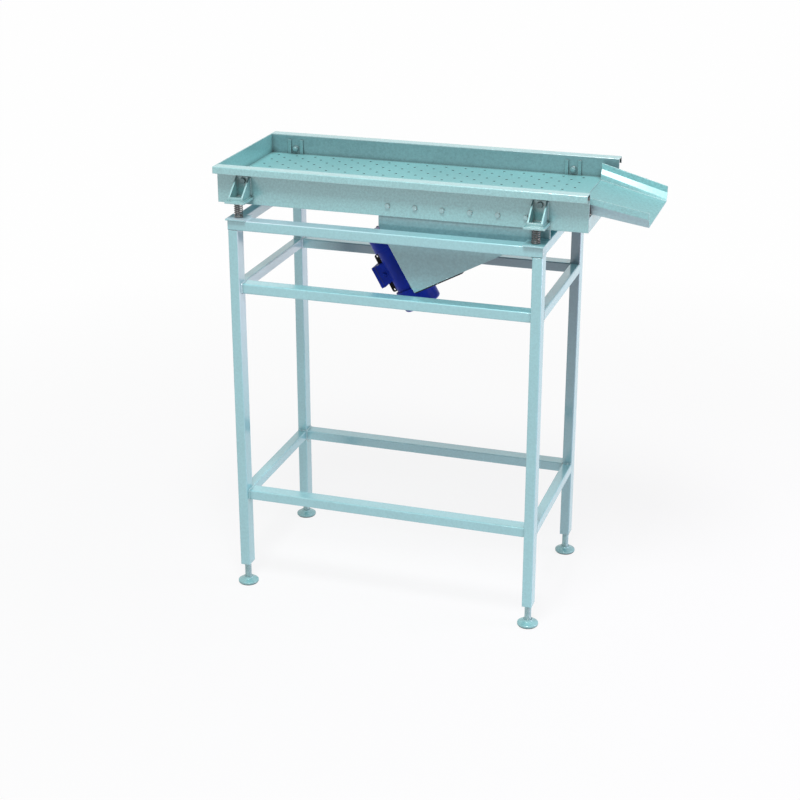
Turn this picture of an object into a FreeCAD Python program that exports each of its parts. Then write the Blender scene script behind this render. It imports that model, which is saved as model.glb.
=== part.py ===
import FreeCAD, Part
import os
import Sketcher

# Vibratory tray feeder: a perforated tray on four coil springs over a welded stand, shaken by an
# unbalance motor on a slanted plate. X is the feed direction, -Y the front, Z up from the floor.

DIMENSIONS = {
    # Stand of welded rectangular tube
    "stand_length": 1238,
    "stand_depth": 740,
    "stand_height": 1567,
    "tube_wide": 60,
    "tube_narrow": 40,
    "tube_wall": 3,
    "tube_corner": 5,
    "leg_clearance": 93,
    "middle_rail_top": 1308,
    "lower_rail_top": 425,
    "rail_set_back": 20,
    "end_cap_depth": 12,
    # Levelling feet
    "foot_pad_dia": 84,
    "foot_pad_rim": 9,
    "foot_pad_height": 27,
    "foot_collar_dia": 40,
    "foot_stem_dia": 27,
    "foot_stem_engaged": 62,
    "foot_fit": 0.08,
    "leg_plug_height": 30,
    # Springs and their seats
    "spring_inset": 35,
    "seat_size": 80,
    "seat_thick": 6,
    "spring_height": 60,
    "spring_dia": 35,
    "spring_wire": 5,
    "spring_turns": 6,
    "spring_end_gap": 0.3,
    # Tray of folded sheet
    "tray_past_stand": 74,
    "outlet_past_stand": 146,
    "wall_clearance": 29,
    "wall_height": 149,
    "wall_below_seat": 23,
    "sheet": 4,
    "lip_width": 45,
    "lip_drop": 27,
    "bend_round": 3.5,
    # Perforated deck and its bearers
    "deck_depth": 77,
    "deck_thick": 4,
    "deck_stop": 62,
    "hole_dia": 8,
    "hole_step": 40,
    "hole_margin_x": 43,
    "hole_margin_y": 30,
    "bearer_pitch": 215,
    "bearer_inset": 40,
    "bearer_thick": 6,
    "bearer_height": 45,
    # Spring brackets on the side walls
    "bracket_plate": 8,
    "gusset_thick": 6,
    "gusset_gap": 46,
    "gusset_reach": 85,
    "gusset_below_lip": 12,
    "gusset_nose": 14,
    "bracket_bolt_dia": 12,
    "bracket_bolt_rise": 22,
    "strip_width": 13,
    "strip_thick": 6,
    "strip_height": 59,
    "bolt_clearance": 1,
    "hex_flats_ratio": 1.7,
    "hex_head_ratio": 0.65,
    "hex_nut_ratio": 0.8,
    # Motor cheeks under the tray
    "cheek_thick": 8,
    "cheek_left": 40,
    "cheek_past_spring": 38,
    "cheek_toe": 30,
    "cheek_rail_gap": 8,
    "cheek_deck_gap": 8,
    "cheek_drop": 42,
    "cheek_bolt_dia": 10,
    "cheek_bolt_count": 6,
    "cheek_bolt_inset": 38,
    "cheek_bolt_to_spring": 53,
    "cheek_bolt_drop": 20,
    "console_plate_length": 208,
    "console_plate_thick": 6,
    "tie_from_left": 340,
    "tie_pitch": 200,
    "tie_rise": 25,
    "throw_angle": 29.5,
    "motor_plate_length": 289.5,
    "motor_plate_thick": 12,
    "motor_plate_top_gap": 8,
    # Unbalance motor
    "motor_station": 207.5,
    "motor_plate_clearance": 30.5,
    "motor_dia": 154,
    "barrel_dia": 136,
    "motor_body_length": 178,
    "motor_wall": 8,
    "motor_foot_length": 130,
    "motor_foot_width": 176,
    "motor_foot_thick": 18,
    "motor_neck_step_x": 10,
    "motor_neck_step_y": 32,
    "motor_bolt_dia": 12,
    "motor_bolt_edge_x": 20,
    "motor_bolt_edge_y": 14,
    "lug_radius": 9,
    "lug_thick": 12,
    "lug_hole_dia": 10,
    "lug_rise": 13,
    "lug_inset": 14,
    "flange_thick": 12,
    "cover_length": 76,
    "cover_wall": 6,
    "cover_round": 12,
    "terminal_length": 91,
    "terminal_width": 80,
    "terminal_sink": 9,
    "terminal_height": 36,
    "terminal_taper": 9,
    "terminal_wall": 4,
    "lid_thick": 16,
    "gland_dia": 16,
    "gland_length": 7,
    "gland_thread_dia": 12,
    "gland_bore_dia": 8,
    "gland_drop": 13,
    # Inside the motor
    "shaft_dia": 30,
    "shaft_past_weight": 14,
    "core_dia": 76,
    "core_length": 90,
    "air_gap": 1,
    "bearing_dia": 62,
    "bearing_fit": 0.05,
    "stator_length": 84,
    "weight_dia": 112,
    "weight_hub_dia": 52,
    "weight_thick": 26,
    "weight_gap": 10,
    # Discharge chute
    "chute_past_tray": 205,
    "chute_drop": 55,
    "chute_inlet_step": 30,
    "chute_narrowing": 42,
    "chute_inlet_depth": 62,
    "chute_inlet_knee_low": 22,
    "chute_inlet_knee_high": 39,
    "chute_outlet_depth": 56,
    "chute_outlet_knee_low": 8,
    "chute_outlet_knee_high": 31,
    "chute_knee_in": 12,
    "chute_floor_in": 16,
    "chute_sheet": 3,
    "chute_weld_gap": 0.3,
}

doc = FreeCAD.newDocument("vibratory_tray_feeder")
dims = doc.addObject("Spreadsheet::Sheet", "dims")
for row, (alias, value) in enumerate(DIMENSIONS.items(), start=1):
    dims.set(f"A{row}", alias)
    dims.set(f"B{row}", str(value))
    dims.setAlias(f"B{row}", alias)
doc.recompute()

# Places worked out from the driving dimensions: the origin is under the middle of the whole length
STAND_X = "((dims.tray_past_stand - dims.outlet_past_stand - dims.chute_past_tray) / 2)"
LEG_X = "(dims.stand_length / 2 - dims.tube_narrow / 2)"
LEG_Y = "(dims.stand_depth / 2 - dims.tube_wide / 2)"
SPRING_X = "(dims.stand_length / 2 - dims.spring_inset)"
BRACKET_Z = "(dims.stand_height + dims.seat_thick + dims.spring_height)"
TRAY_Z = f"({BRACKET_Z} - dims.wall_below_seat)"
RIM_Z = f"({TRAY_Z} + dims.wall_height)"
DECK_Z = f"({RIM_Z} - dims.deck_depth)"
TRAY_LENGTH = "(dims.stand_length + dims.tray_past_stand + dims.outlet_past_stand)"
TRAY_LEFT = f"({STAND_X} - dims.stand_length / 2 - dims.tray_past_stand)"
TRAY_RIGHT = f"({TRAY_LEFT} + {TRAY_LENGTH})"
DECK_LEFT = f"({TRAY_LEFT} + dims.sheet)"
DECK_RIGHT = f"({TRAY_RIGHT} - dims.deck_stop)"
WALL_OUT = "(dims.stand_depth / 2 - dims.tube_wide - dims.wall_clearance)"
WALL_IN = f"({WALL_OUT} - dims.sheet)"
CHEEK_IN = f"({WALL_IN} - dims.cheek_thick)"
CHEEK_X = f"({STAND_X} - dims.cheek_left)"
SHOULDER_Z = f"({TRAY_Z} - dims.cheek_drop)"
OUTLET_X = f"({TRAY_RIGHT} + dims.chute_past_tray)"
SIDES = (("left", "-1"), ("right", "1"))
ROWS = (("front", "-1"), ("rear", "1"))

# Motor frame: x runs down the slanted plate, y stays, z points along the throw, off the motor
MOTOR = (
    f"placement(vector({CHEEK_X}; 0; {SHOULDER_Z}); "
    "rotation(vector(0; 1; 0); 90 - dims.throw_angle)) * "
)
AXIS_RISE = "(dims.motor_dia / 2 + dims.motor_plate_clearance)"
AXIS_H = f"(-{AXIS_RISE})"
STATION = "dims.motor_station"
UPRIGHT = ("0; 0; 1", "0")
ALONG_X = ("0; 1; 0", "90")
AGAINST_X = ("0; 1; 0", "-90")
ALONG_Y = ("1; 0; 0", "-90")
AGAINST_Y = ("1; 0; 0", "90")
AGAINST_Z = ("1; 0; 0", "180")

nodes = []


def keep(obj, label):
    """Name a finished piece and list it for writing."""
    obj.Label = label
    nodes.append(obj)
    return obj


def place(obj, at, turn=UPRIGHT, frame=""):
    """Bind an object's placement to expressions, in the row's frame or in the motor's."""
    x, y, z = at
    axis, angle = turn
    rotation = f"rotation(vector({axis}); {angle})"
    obj.setExpression("Placement", f"{frame}placement(vector({x}; {y}; {z}); {rotation})")


def box(name, low, size, frame=""):
    solid = doc.addObject("Part::Box", name)
    for side, expression in zip(("Length", "Width", "Height"), size):
        solid.setExpression(side, expression)
    place(solid, low, frame=frame)
    return solid


def rod(name, radius, length, at, turn=UPRIGHT, frame=""):
    solid = doc.addObject("Part::Cylinder", name)
    solid.setExpression("Radius", radius)
    solid.setExpression("Height", length)
    place(solid, at, turn, frame)
    return solid


def hexagon(name, across_flats, length, at, turn=UPRIGHT, frame=""):
    solid = doc.addObject("Part::Prism", name)
    solid.Polygon = 6
    solid.setExpression("Circumradius", f"{across_flats} / (2 * cos(30))")
    solid.setExpression("Height", length)
    place(solid, at, turn, frame)
    return solid


def fuse(name, pieces):
    joined = doc.addObject("Part::MultiFuse", name)
    joined.Shapes = pieces
    return joined


def cut(name, base, tools):
    result = doc.addObject("Part::Cut", name)
    result.Base = base
    result.Tool = tools[0] if len(tools) == 1 else fuse(f"{name}_tools", tools)
    return result


def group(label, pieces):
    """Like pieces that share one node stay separate solids."""
    compound = doc.addObject("Part::Compound", f"{label}_group")
    compound.Links = pieces
    return keep(compound, label)


def bolt(name, dia, grip, at, turn, frame=""):
    """Hexagon bolt with its nut: the head stands on the face at `at`, the nut past the grip."""
    across = f"({dia} * dims.hex_flats_ratio)"
    head = f"({dia} * dims.hex_head_ratio)"
    nut = f"({dia} * dims.hex_nut_ratio)"
    x, y, z = at
    base = f"{frame}placement(vector({x}; {y}; {z}); rotation(vector({turn[0]}); {turn[1]})) * "
    pieces = [
        hexagon(f"{name}_head", across, head, ("0", "0", "0"), frame=base),
        rod(f"{name}_shank", f"{dia} / 2", f"{grip} + {nut}", ("0", "0", f"-({grip} + {nut})"), frame=base),
        hexagon(f"{name}_nut", across, nut, ("0", "0", f"-({grip} + {nut})"), frame=base),
    ]
    return fuse(name, pieces)


def round_edges(name, base, radius, chosen):
    """Fillet of the edges of a finished base whose middle point the test picks."""
    base.recompute()
    doc.recompute()
    rounded = doc.addObject("Part::Fillet", name)
    rounded.Base = base
    edges = enumerate(base.Shape.Edges, start=1)
    rounded.Edges = [(index, radius, radius) for index, edge in edges if chosen(edge)]
    return rounded


def tube(label, low, size, along):
    """Rectangular hollow section with rounded outer corners, open at both ends."""
    outer = box(f"{label}_outer", low, size)
    bore_low = [at if axis == along else f"{at} + dims.tube_wall" for axis, at in enumerate(low)]
    bore_size = [side if axis == along else f"{side} - 2 * dims.tube_wall"
                 for axis, side in enumerate(size)]
    direction = FreeCAD.Vector(*[1 if axis == along else 0 for axis in range(3)])

    def runs_along(edge):
        return abs(edge.tangentAt(edge.FirstParameter).dot(direction)) > 0.99

    rounded = round_edges(f"{label}_rounded", outer, dims.tube_corner, runs_along)
    return cut(f"{label}_tube", rounded, [box(f"{label}_bore", bore_low, bore_size)])


def sketch_on(body, role, offset="0"):
    sketch = body.newObject("Sketcher::SketchObject", f"{body.Name}_sketch")
    plane = [feature for feature in body.Origin.OriginFeatures if feature.Role == role][0]
    sketch.AttachmentSupport = (plane, [""])
    sketch.MapMode = "FlatFace"
    sketch.setExpression("AttachmentOffset.Base.z", offset)
    return sketch


def pin_point(sketch, geometry, point, at):
    """Dimension one sketch point from the sketch's origin, bound to the sheet."""
    for kind, expression in zip(("DistanceX", "DistanceY"), at):
        start = float(sketch.evalExpression(expression))
        index = sketch.addConstraint(Sketcher.Constraint(kind, -1, 1, geometry, point, start))
        sketch.setExpression(f"Constraints[{index}]", expression)


def outline(body, role, points, offset="0"):
    """Closed outline of straight lines through points given as pairs of expressions."""
    sketch = sketch_on(body, role, offset)
    corners = [FreeCAD.Vector(*[float(sketch.evalExpression(e)) for e in point], 0) for point in points]
    count = len(points)
    for index in range(count):
        sketch.addGeometry(Part.LineSegment(corners[index], corners[(index + 1) % count]))
    for index in range(count):
        sketch.addConstraint(Sketcher.Constraint("Coincident", index, 2, (index + 1) % count, 1))
    for index, point in enumerate(points):
        pin_point(sketch, index, 1, point)
    return sketch


def polygon(x, y, radius, sides):
    """Corners of a regular polygon with a corner above its middle, at the given corner radius."""
    turns = [90 + 360 * index / sides for index in range(sides)]
    return [(f"{x} + {radius} * cos({turn})", f"{y} + {radius} * sin({turn})") for turn in turns]


def circles(body, role, centres, radius):
    sketch = sketch_on(body, role)
    size = float(sketch.evalExpression(radius))
    for index, centre in enumerate(centres):
        middle = FreeCAD.Vector(*[float(sketch.evalExpression(e)) for e in centre], 0)
        sketch.addGeometry(Part.Circle(middle, FreeCAD.Vector(0, 0, 1), size))
        pin_point(sketch, index, 3, centre)
        constraint = sketch.addConstraint(Sketcher.Constraint("Radius", index, size))
        sketch.setExpression(f"Constraints[{constraint}]", radius)
    return sketch


def pad(body, sketch, length, reverse=False):
    feature = body.newObject("PartDesign::Pad", f"{body.Name}_pad")
    feature.Profile = sketch
    feature.Reversed = reverse
    feature.setExpression("Length", length)
    return feature


def drill(body, sketch):
    """Holes right through the body, both ways from the sketch."""
    feature = body.newObject("PartDesign::Pocket", f"{body.Name}_holes")
    feature.Profile = sketch
    feature.Type = "ThroughAll"
    feature.Midplane = True
    return feature


def turned(name, profile, at, turn=UPRIGHT, frame=""):
    """Body of revolution about its own Z from a profile of radius and height."""
    body = doc.addObject("PartDesign::Body", name)
    sketch = outline(body, "XZ_Plane", profile)
    feature = body.newObject("PartDesign::Revolution", f"{name}_turn")
    feature.Profile = sketch
    feature.ReferenceAxis = (sketch, ["V_Axis"])
    feature.Angle = 360
    place(body, at, turn, frame)
    return body


# Legs and the three frames of rails
TUBE_Z = "dims.tube_narrow"
CLEAR_Y = "(dims.stand_depth - 2 * dims.tube_wide)"
for row_name, row in ROWS:
    for side_name, side in SIDES:
        corner = f"{row_name}_{side_name}"
        leg = tube(
            f"leg_{corner}",
            (f"{STAND_X} + {side} * {LEG_X} - dims.tube_narrow / 2",
             f"{row} * {LEG_Y} - dims.tube_wide / 2", "dims.leg_clearance"),
            ("dims.tube_narrow", "dims.tube_wide", f"dims.stand_height - {TUBE_Z} - dims.leg_clearance"), 2)
        keep(leg, f"leg_{corner}")

RAIL_LEVELS = (
    ("upper", "dims.stand_height"),
    ("middle", "dims.middle_rail_top"),
    ("lower", "dims.lower_rail_top"),
)
for level, top in RAIL_LEVELS:
    if level == "upper":
        end_inset = "0"
        set_back = "0"
    else:
        end_inset = "dims.tube_narrow"
        set_back = "dims.rail_set_back"
    for row_name, row in ROWS:
        inward = set_back if row_name == "front" else "0"
        label = f"{level}_rail_{row_name}"
        rail = tube(
            label,
            (f"{STAND_X} - dims.stand_length / 2 + {end_inset}",
             f"{row} * {LEG_Y} - dims.tube_wide / 2 + {inward}", f"{top} - {TUBE_Z}"),
            (f"dims.stand_length - 2 * {end_inset}", "dims.tube_wide", TUBE_Z), 0)
        keep(rail, label)
    for side_name, side in SIDES:
        label = f"{level}_rail_{side_name}"
        rail = tube(
            label,
            (f"{STAND_X} + {side} * {LEG_X} - dims.tube_narrow / 2",
             f"-{CLEAR_Y} / 2", f"{top} - {TUBE_Z}"),
            ("dims.tube_narrow", CLEAR_Y, TUBE_Z), 1)
        keep(rail, label)

# End caps flush in the open ends of the upper long rails
caps = []
for row_name, row in ROWS:
    for side_name, side in SIDES:
        middle_x = f"{STAND_X} + {side} * (dims.stand_length - dims.end_cap_depth) / 2"
        caps.append(box(
            f"cap_{row_name}_{side_name}",
            (f"{middle_x} - dims.end_cap_depth / 2",
             f"{row} * {LEG_Y} - dims.tube_wide / 2 + dims.tube_wall",
             f"dims.stand_height - {TUBE_Z} + dims.tube_wall"),
            ("dims.end_cap_depth", "dims.tube_wide - 2 * dims.tube_wall",
             f"{TUBE_Z} - 2 * dims.tube_wall")))
group("rail_end_caps", caps)

# Levelling feet: a turned pad on a threaded stem that screws into the leg's end plug
STEM_R = "dims.foot_stem_dia / 2"
STEM_TOP = "dims.leg_clearance + dims.foot_stem_engaged"
plugs = []
for row_name, row in ROWS:
    for side_name, side in SIDES:
        corner = f"{row_name}_{side_name}"
        middle = (f"{STAND_X} + {side} * {LEG_X}", f"{row} * {LEG_Y}", "0")
        foot = turned(f"foot_{corner}", (
            ("0", "0"),
            ("dims.foot_pad_dia / 2", "0"),
            ("dims.foot_pad_dia / 2", "dims.foot_pad_rim"),
            ("dims.foot_collar_dia / 2", "dims.foot_pad_height - dims.foot_pad_rim / 2"),
            ("dims.foot_collar_dia / 2", "dims.foot_pad_height"),
            (STEM_R, "dims.foot_pad_height"),
            (STEM_R, STEM_TOP),
            ("0", STEM_TOP),
        ), middle)
        keep(foot, f"levelling_foot_{corner}")
        plug = box(
            f"plug_{corner}_block",
            (f"{middle[0]} - dims.tube_narrow / 2 + dims.tube_wall",
             f"{middle[1]} - dims.tube_wide / 2 + dims.tube_wall", "dims.leg_clearance"),
            ("dims.tube_narrow - 2 * dims.tube_wall", "dims.tube_wide - 2 * dims.tube_wall",
             "dims.leg_plug_height"))
        bore = rod(f"plug_{corner}_bore", f"{STEM_R} + dims.foot_fit", "dims.leg_plug_height",
                   (middle[0], middle[1], "dims.leg_clearance"))
        plugs.append(cut(f"plug_{corner}", plug, [bore]))
group("leg_end_plugs", plugs)

# Spring seats on the upper rails, and the coil springs that stand on them
SEAT_TOP = "(dims.stand_height + dims.seat_thick)"
SPRING_RISE = "(dims.spring_height - 2 * dims.spring_end_gap - dims.spring_wire)"
seats = []
springs = []
for row_name, row in ROWS:
    for side_name, side in SIDES:
        corner = f"{row_name}_{side_name}"
        spring_x = f"{STAND_X} + {side} * {SPRING_X}"
        spring_y = f"{row} * {LEG_Y}"
        seats.append(box(
            f"seat_{corner}",
            (f"{spring_x} - dims.seat_size / 2", f"{spring_y} - dims.seat_size / 2", "dims.stand_height"),
            ("dims.seat_size", "dims.seat_size", "dims.seat_thick")))
        spring = doc.addObject("PartDesign::Body", f"spring_{corner}")
        wire = outline(spring, "XZ_Plane", polygon("(dims.spring_dia - dims.spring_wire) / 2", "0",
                                                   "dims.spring_wire / 2", 6))
        coil = spring.newObject("PartDesign::AdditiveHelix", f"spring_{corner}_coil")
        coil.Profile = wire
        coil.ReferenceAxis = (wire, ["V_Axis"])
        coil.Mode = "pitch-height-angle"
        coil.setExpression("Pitch", f"{SPRING_RISE} / dims.spring_turns")
        coil.setExpression("Height", SPRING_RISE)
        place(spring, (spring_x, spring_y, f"{SEAT_TOP} + dims.spring_end_gap + dims.spring_wire / 2"))
        springs.append(spring)
group("spring_seats", seats)
group("coil_springs", springs)

# Bolt places along the walls: the cheek bolts in a row, and one bolt in each spring bracket
CHEEK_TOP = f"({DECK_Z} - dims.deck_thick - dims.cheek_deck_gap)"
CHEEK_BOLT_Z = f"{CHEEK_TOP} - dims.cheek_bolt_drop"
BRACKET_BOLT_Z = f"{DECK_Z} + dims.bracket_bolt_rise"
FIRST_BOLT_X = f"({CHEEK_X} + dims.cheek_bolt_inset)"
LAST_BOLT_X = f"({STAND_X} + {SPRING_X} - dims.cheek_bolt_to_spring)"
BOLT_PITCH = f"(({LAST_BOLT_X} - {FIRST_BOLT_X}) / (dims.cheek_bolt_count - 1))"
cheek_bolts_x = [f"{FIRST_BOLT_X} + {index} * {BOLT_PITCH}" for index in range(int(dims.cheek_bolt_count))]
bracket_bolts_x = [f"{STAND_X} + {side} * {SPRING_X}" for side_name, side in SIDES]
CHEEK_HOLE_R = "(dims.cheek_bolt_dia + dims.bolt_clearance) / 2"
BRACKET_HOLE_R = "(dims.bracket_bolt_dia + dims.bolt_clearance) / 2"

# Side walls: sheet folded outward and down along the top
LIP_OUT = f"({WALL_OUT} + dims.lip_width)"


def round_bends(body, folded):
    """Round the two outer bends of the lip, found along the rim of the folded sheet."""
    doc.recompute()
    rim = folded.Shape.BoundBox.ZMax
    names = []
    for index, edge in enumerate(folded.Shape.Edges, start=1):
        middle = edge.CenterOfMass
        along_rim = abs(middle.z - rim) < 0.01 and abs(edge.tangentAt(edge.FirstParameter).x) > 0.99
        if along_rim:
            names.append(f"Edge{index}")
    bend = body.newObject("PartDesign::Fillet", f"{body.Name}_bends")
    bend.Base = (folded, names)
    bend.setExpression("Radius", "dims.bend_round")
    return bend


for row_name, row in ROWS:
    wall = doc.addObject("PartDesign::Body", f"wall_{row_name}")
    profile = outline(wall, "YZ_Plane", (
        (f"{row} * {WALL_IN}", TRAY_Z),
        (f"{row} * {WALL_OUT}", TRAY_Z),
        (f"{row} * {WALL_OUT}", f"{RIM_Z} - dims.sheet"),
        (f"{row} * ({LIP_OUT} - dims.sheet)", f"{RIM_Z} - dims.sheet"),
        (f"{row} * ({LIP_OUT} - dims.sheet)", f"{RIM_Z} - dims.lip_drop"),
        (f"{row} * {LIP_OUT}", f"{RIM_Z} - dims.lip_drop"),
        (f"{row} * {LIP_OUT}", RIM_Z),
        (f"{row} * {WALL_IN}", RIM_Z),
    ), TRAY_LEFT)
    folded = pad(wall, profile, TRAY_LENGTH)
    round_bends(wall, folded)
    drill(wall, circles(wall, "XZ_Plane", [(x, CHEEK_BOLT_Z) for x in cheek_bolts_x], CHEEK_HOLE_R))
    drill(wall, circles(wall, "XZ_Plane", [(x, BRACKET_BOLT_Z) for x in bracket_bolts_x], BRACKET_HOLE_R))
    keep(wall, f"side_wall_{row_name}")

end_wall = box("end_wall_plate", (TRAY_LEFT, f"-{WALL_IN}", TRAY_Z),
               ("dims.sheet", f"2 * {WALL_IN}", "dims.wall_height"))
keep(end_wall, "end_wall")

CHUTE_RUN = f"({OUTLET_X} - {DECK_RIGHT})"
CHUTE_UNDER_END = f"({DECK_Z} - dims.chute_drop * dims.deck_stop / {CHUTE_RUN} - dims.chute_sheet)"
outlet_plate = box("outlet_plate", (f"{TRAY_RIGHT} - dims.sheet", f"-{WALL_IN}", TRAY_Z),
                   ("dims.sheet", f"2 * {WALL_IN}", f"{CHUTE_UNDER_END} - dims.chute_weld_gap - {TRAY_Z}"))
keep(outlet_plate, "outlet_end_plate")

# Deck bearers: flat bars on edge across the tray
BEARER_Z = f"({DECK_Z} - dims.deck_thick - dims.bearer_height)"
bearer_places = (
    f"{DECK_LEFT} + dims.bearer_pitch",
    f"{DECK_LEFT} + 2 * dims.bearer_pitch",
    f"{DECK_RIGHT} - dims.bearer_inset",
)
group("deck_bearers", [
    box(f"bearer_{index}", (x, f"-{WALL_IN}", BEARER_Z),
        ("dims.bearer_thick", f"2 * {WALL_IN}", "dims.bearer_height"))
    for index, x in enumerate(bearer_places)
])

# Spring brackets: a seat plate on the spring, a back plate on the wall, two gussets and a nose strip
GUSSET_X = "(dims.gusset_gap / 2 + dims.gusset_thick / 2)"
GUSSET_Z = f"({BRACKET_Z} + dims.bracket_plate)"
GUSSET_TOP = f"({RIM_Z} - dims.lip_drop - dims.gusset_below_lip)"
SEAT_REACH = f"({LEG_Y} + dims.seat_size / 2 - {WALL_OUT})"
BACK_OUT = f"({WALL_OUT} + dims.gusset_thick)"
NOSE = f"({WALL_OUT} + dims.gusset_reach)"
bracket_bolts = []
strips = []
for row_name, row in ROWS:
    outward = AGAINST_Y if row_name == "front" else ALONG_Y
    for side_name, side in SIDES:
        corner = f"{row_name}_{side_name}"
        spring_x = f"{STAND_X} + {side} * {SPRING_X}"
        pieces = [
            box(f"bracket_{corner}_seat",
                (f"{spring_x} - dims.seat_size / 2",
                 f"{row} * ({WALL_OUT} + {SEAT_REACH} / 2) - {SEAT_REACH} / 2", BRACKET_Z),
                ("dims.seat_size", SEAT_REACH, "dims.bracket_plate")),
            box(f"bracket_{corner}_back",
                (f"{spring_x} - dims.gusset_gap / 2 - dims.gusset_thick",
                 f"{row} * ({WALL_OUT} + dims.gusset_thick / 2) - dims.gusset_thick / 2", GUSSET_Z),
                ("dims.gusset_gap + 2 * dims.gusset_thick", "dims.gusset_thick",
                 f"{GUSSET_TOP} - {GUSSET_Z}")),
            box(f"bracket_{corner}_nose",
                (f"{spring_x} - dims.gusset_gap / 2",
                 f"{row} * ({NOSE} - dims.gusset_thick / 2) - dims.gusset_thick / 2", GUSSET_Z),
                ("dims.gusset_gap", "dims.gusset_thick", "dims.gusset_nose")),
        ]
        for hand in ("-1", "1"):
            gusset = doc.addObject("PartDesign::Body", f"gusset_{corner}")
            shape = outline(gusset, "YZ_Plane", (
                (f"{row} * {WALL_OUT}", GUSSET_Z),
                (f"{row} * {NOSE}", GUSSET_Z),
                (f"{row} * {NOSE}", f"{GUSSET_Z} + dims.gusset_nose"),
                (f"{row} * {BACK_OUT}", GUSSET_TOP),
                (f"{row} * {WALL_OUT}", GUSSET_TOP),
            ), f"{spring_x} + {hand} * {GUSSET_X} - dims.gusset_thick / 2")
            pad(gusset, shape, "dims.gusset_thick")
            pieces.append(gusset)
            strips.append(box(
                f"strip_{corner}",
                (f"{spring_x} + {hand} * {GUSSET_X} - dims.strip_width / 2",
                 f"{row} * ({WALL_IN} - dims.strip_thick / 2) - dims.strip_thick / 2", DECK_Z),
                ("dims.strip_width", "dims.strip_thick", "dims.strip_height")))
        hole = rod(f"bracket_{corner}_hole", BRACKET_HOLE_R, "2 * dims.gusset_thick",
                   (spring_x, f"{row} * ({WALL_OUT} - dims.gusset_thick / 2)", BRACKET_BOLT_Z), outward)
        bracket = cut(f"bracket_{corner}", fuse(f"bracket_{corner}_weld", pieces), [hole])
        keep(bracket, f"spring_bracket_{corner}")
        bracket_bolts.append(bolt(
            f"bracket_bolt_{corner}", "dims.bracket_bolt_dia", "(dims.gusset_thick + dims.sheet)",
            (spring_x, f"{row} * {BACK_OUT}", BRACKET_BOLT_Z), outward))
group("bracket_strips", strips)
group("bracket_bolts", bracket_bolts)

# Motor cheeks: plates bolted inside the walls, cut square to the throw at the bottom
PLATE_FOOT_X = f"{CHEEK_X} + dims.motor_plate_length * sin(dims.throw_angle)"
PLATE_FOOT_Z = f"{SHOULDER_Z} - dims.motor_plate_length * cos(dims.throw_angle)"
CHEEK_RIGHT = f"({STAND_X} + {SPRING_X} + dims.cheek_past_spring)"
CHEEK_HEEL = "(dims.stand_height + dims.cheek_rail_gap)"
cheek_bolts = []
for row_name, row in ROWS:
    cheek = doc.addObject("PartDesign::Body", f"cheek_{row_name}")
    shape = outline(cheek, "XZ_Plane", (
        (CHEEK_X, SHOULDER_Z),
        (PLATE_FOOT_X, PLATE_FOOT_Z),
        (f"{CHEEK_RIGHT} - dims.cheek_toe", CHEEK_HEEL),
        (CHEEK_RIGHT, CHEEK_HEEL),
        (CHEEK_RIGHT, CHEEK_TOP),
        (CHEEK_X, CHEEK_TOP),
    ), f"-1 * {row} * {WALL_IN}")
    pad(cheek, shape, "dims.cheek_thick", reverse=row_name == "front")
    drill(cheek, circles(cheek, "XZ_Plane", [(x, CHEEK_BOLT_Z) for x in cheek_bolts_x], CHEEK_HOLE_R))
    keep(cheek, f"motor_cheek_{row_name}")
    outward = AGAINST_Y if row_name == "front" else ALONG_Y
    for index, x in enumerate(cheek_bolts_x):
        cheek_bolts.append(bolt(
            f"cheek_bolt_{row_name}_{index}", "dims.cheek_bolt_dia", "(dims.sheet + dims.cheek_thick)",
            (x, f"{row} * {WALL_OUT}", CHEEK_BOLT_Z), outward))
group("cheek_bolts", cheek_bolts)

ties = []
for index in range(2):
    low = (f"{CHEEK_X} + dims.tie_from_left + {index} * dims.tie_pitch",
           f"-{CHEEK_IN}", f"{SHOULDER_Z} + dims.tie_rise")
    ties.append(tube(f"tie_{index}", low, ("dims.tube_narrow", f"2 * {CHEEK_IN}", "dims.tube_narrow"), 1))
group("cheek_ties", ties)

# Slanted motor plate between the cheeks, with the motor's bolt holes
PLATE_RUN = "(dims.motor_plate_length - dims.motor_plate_top_gap)"
motor_bolt_places = [
    (f"{STATION} + {along} * (dims.motor_foot_length / 2 - dims.motor_bolt_edge_x)",
     f"{across} * (dims.motor_foot_width / 2 - dims.motor_bolt_edge_y)")
    for along in ("-1", "1") for across in ("-1", "1")
]
MOTOR_HOLE_R = "(dims.motor_bolt_dia + dims.bolt_clearance) / 2"


def motor_holes(name):
    """Clearance holes through the motor's feet and the plate under them."""
    length = "(dims.motor_foot_thick + dims.motor_plate_thick)"
    return [
        rod(f"{name}_{index}", MOTOR_HOLE_R, length, (s, y, "-dims.motor_foot_thick"), frame=MOTOR)
        for index, (s, y) in enumerate(motor_bolt_places)
    ]


plate = box("motor_plate_blank", ("dims.motor_plate_top_gap", f"-{CHEEK_IN}", "0"),
            (PLATE_RUN, f"2 * {CHEEK_IN}", "dims.motor_plate_thick"), frame=MOTOR)
keep(cut("motor_plate_drilled", plate, motor_holes("plate_hole")), "motor_plate")

# Lower plate of the motor console: it lies along the cheeks' lower edges, between their inner faces
EDGE_RISE = f"({CHEEK_HEEL} - ({PLATE_FOOT_Z}))"
EDGE_RUN = f"({CHEEK_RIGHT} - dims.cheek_toe - ({PLATE_FOOT_X}))"
ALONG_EDGE = (
    f"placement(vector({PLATE_FOOT_X}; 0; {PLATE_FOOT_Z}); "
    f"rotation(vector(0; 1; 0); -atan({EDGE_RISE} / {EDGE_RUN}))) * "
)
console_plate = box(
    "console_plate", ("0", f"-{CHEEK_IN}", "-dims.console_plate_thick"),
    ("dims.console_plate_length", f"2 * {CHEEK_IN}", "dims.console_plate_thick"), ALONG_EDGE)
keep(console_plate, "console_lower_plate")

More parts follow.
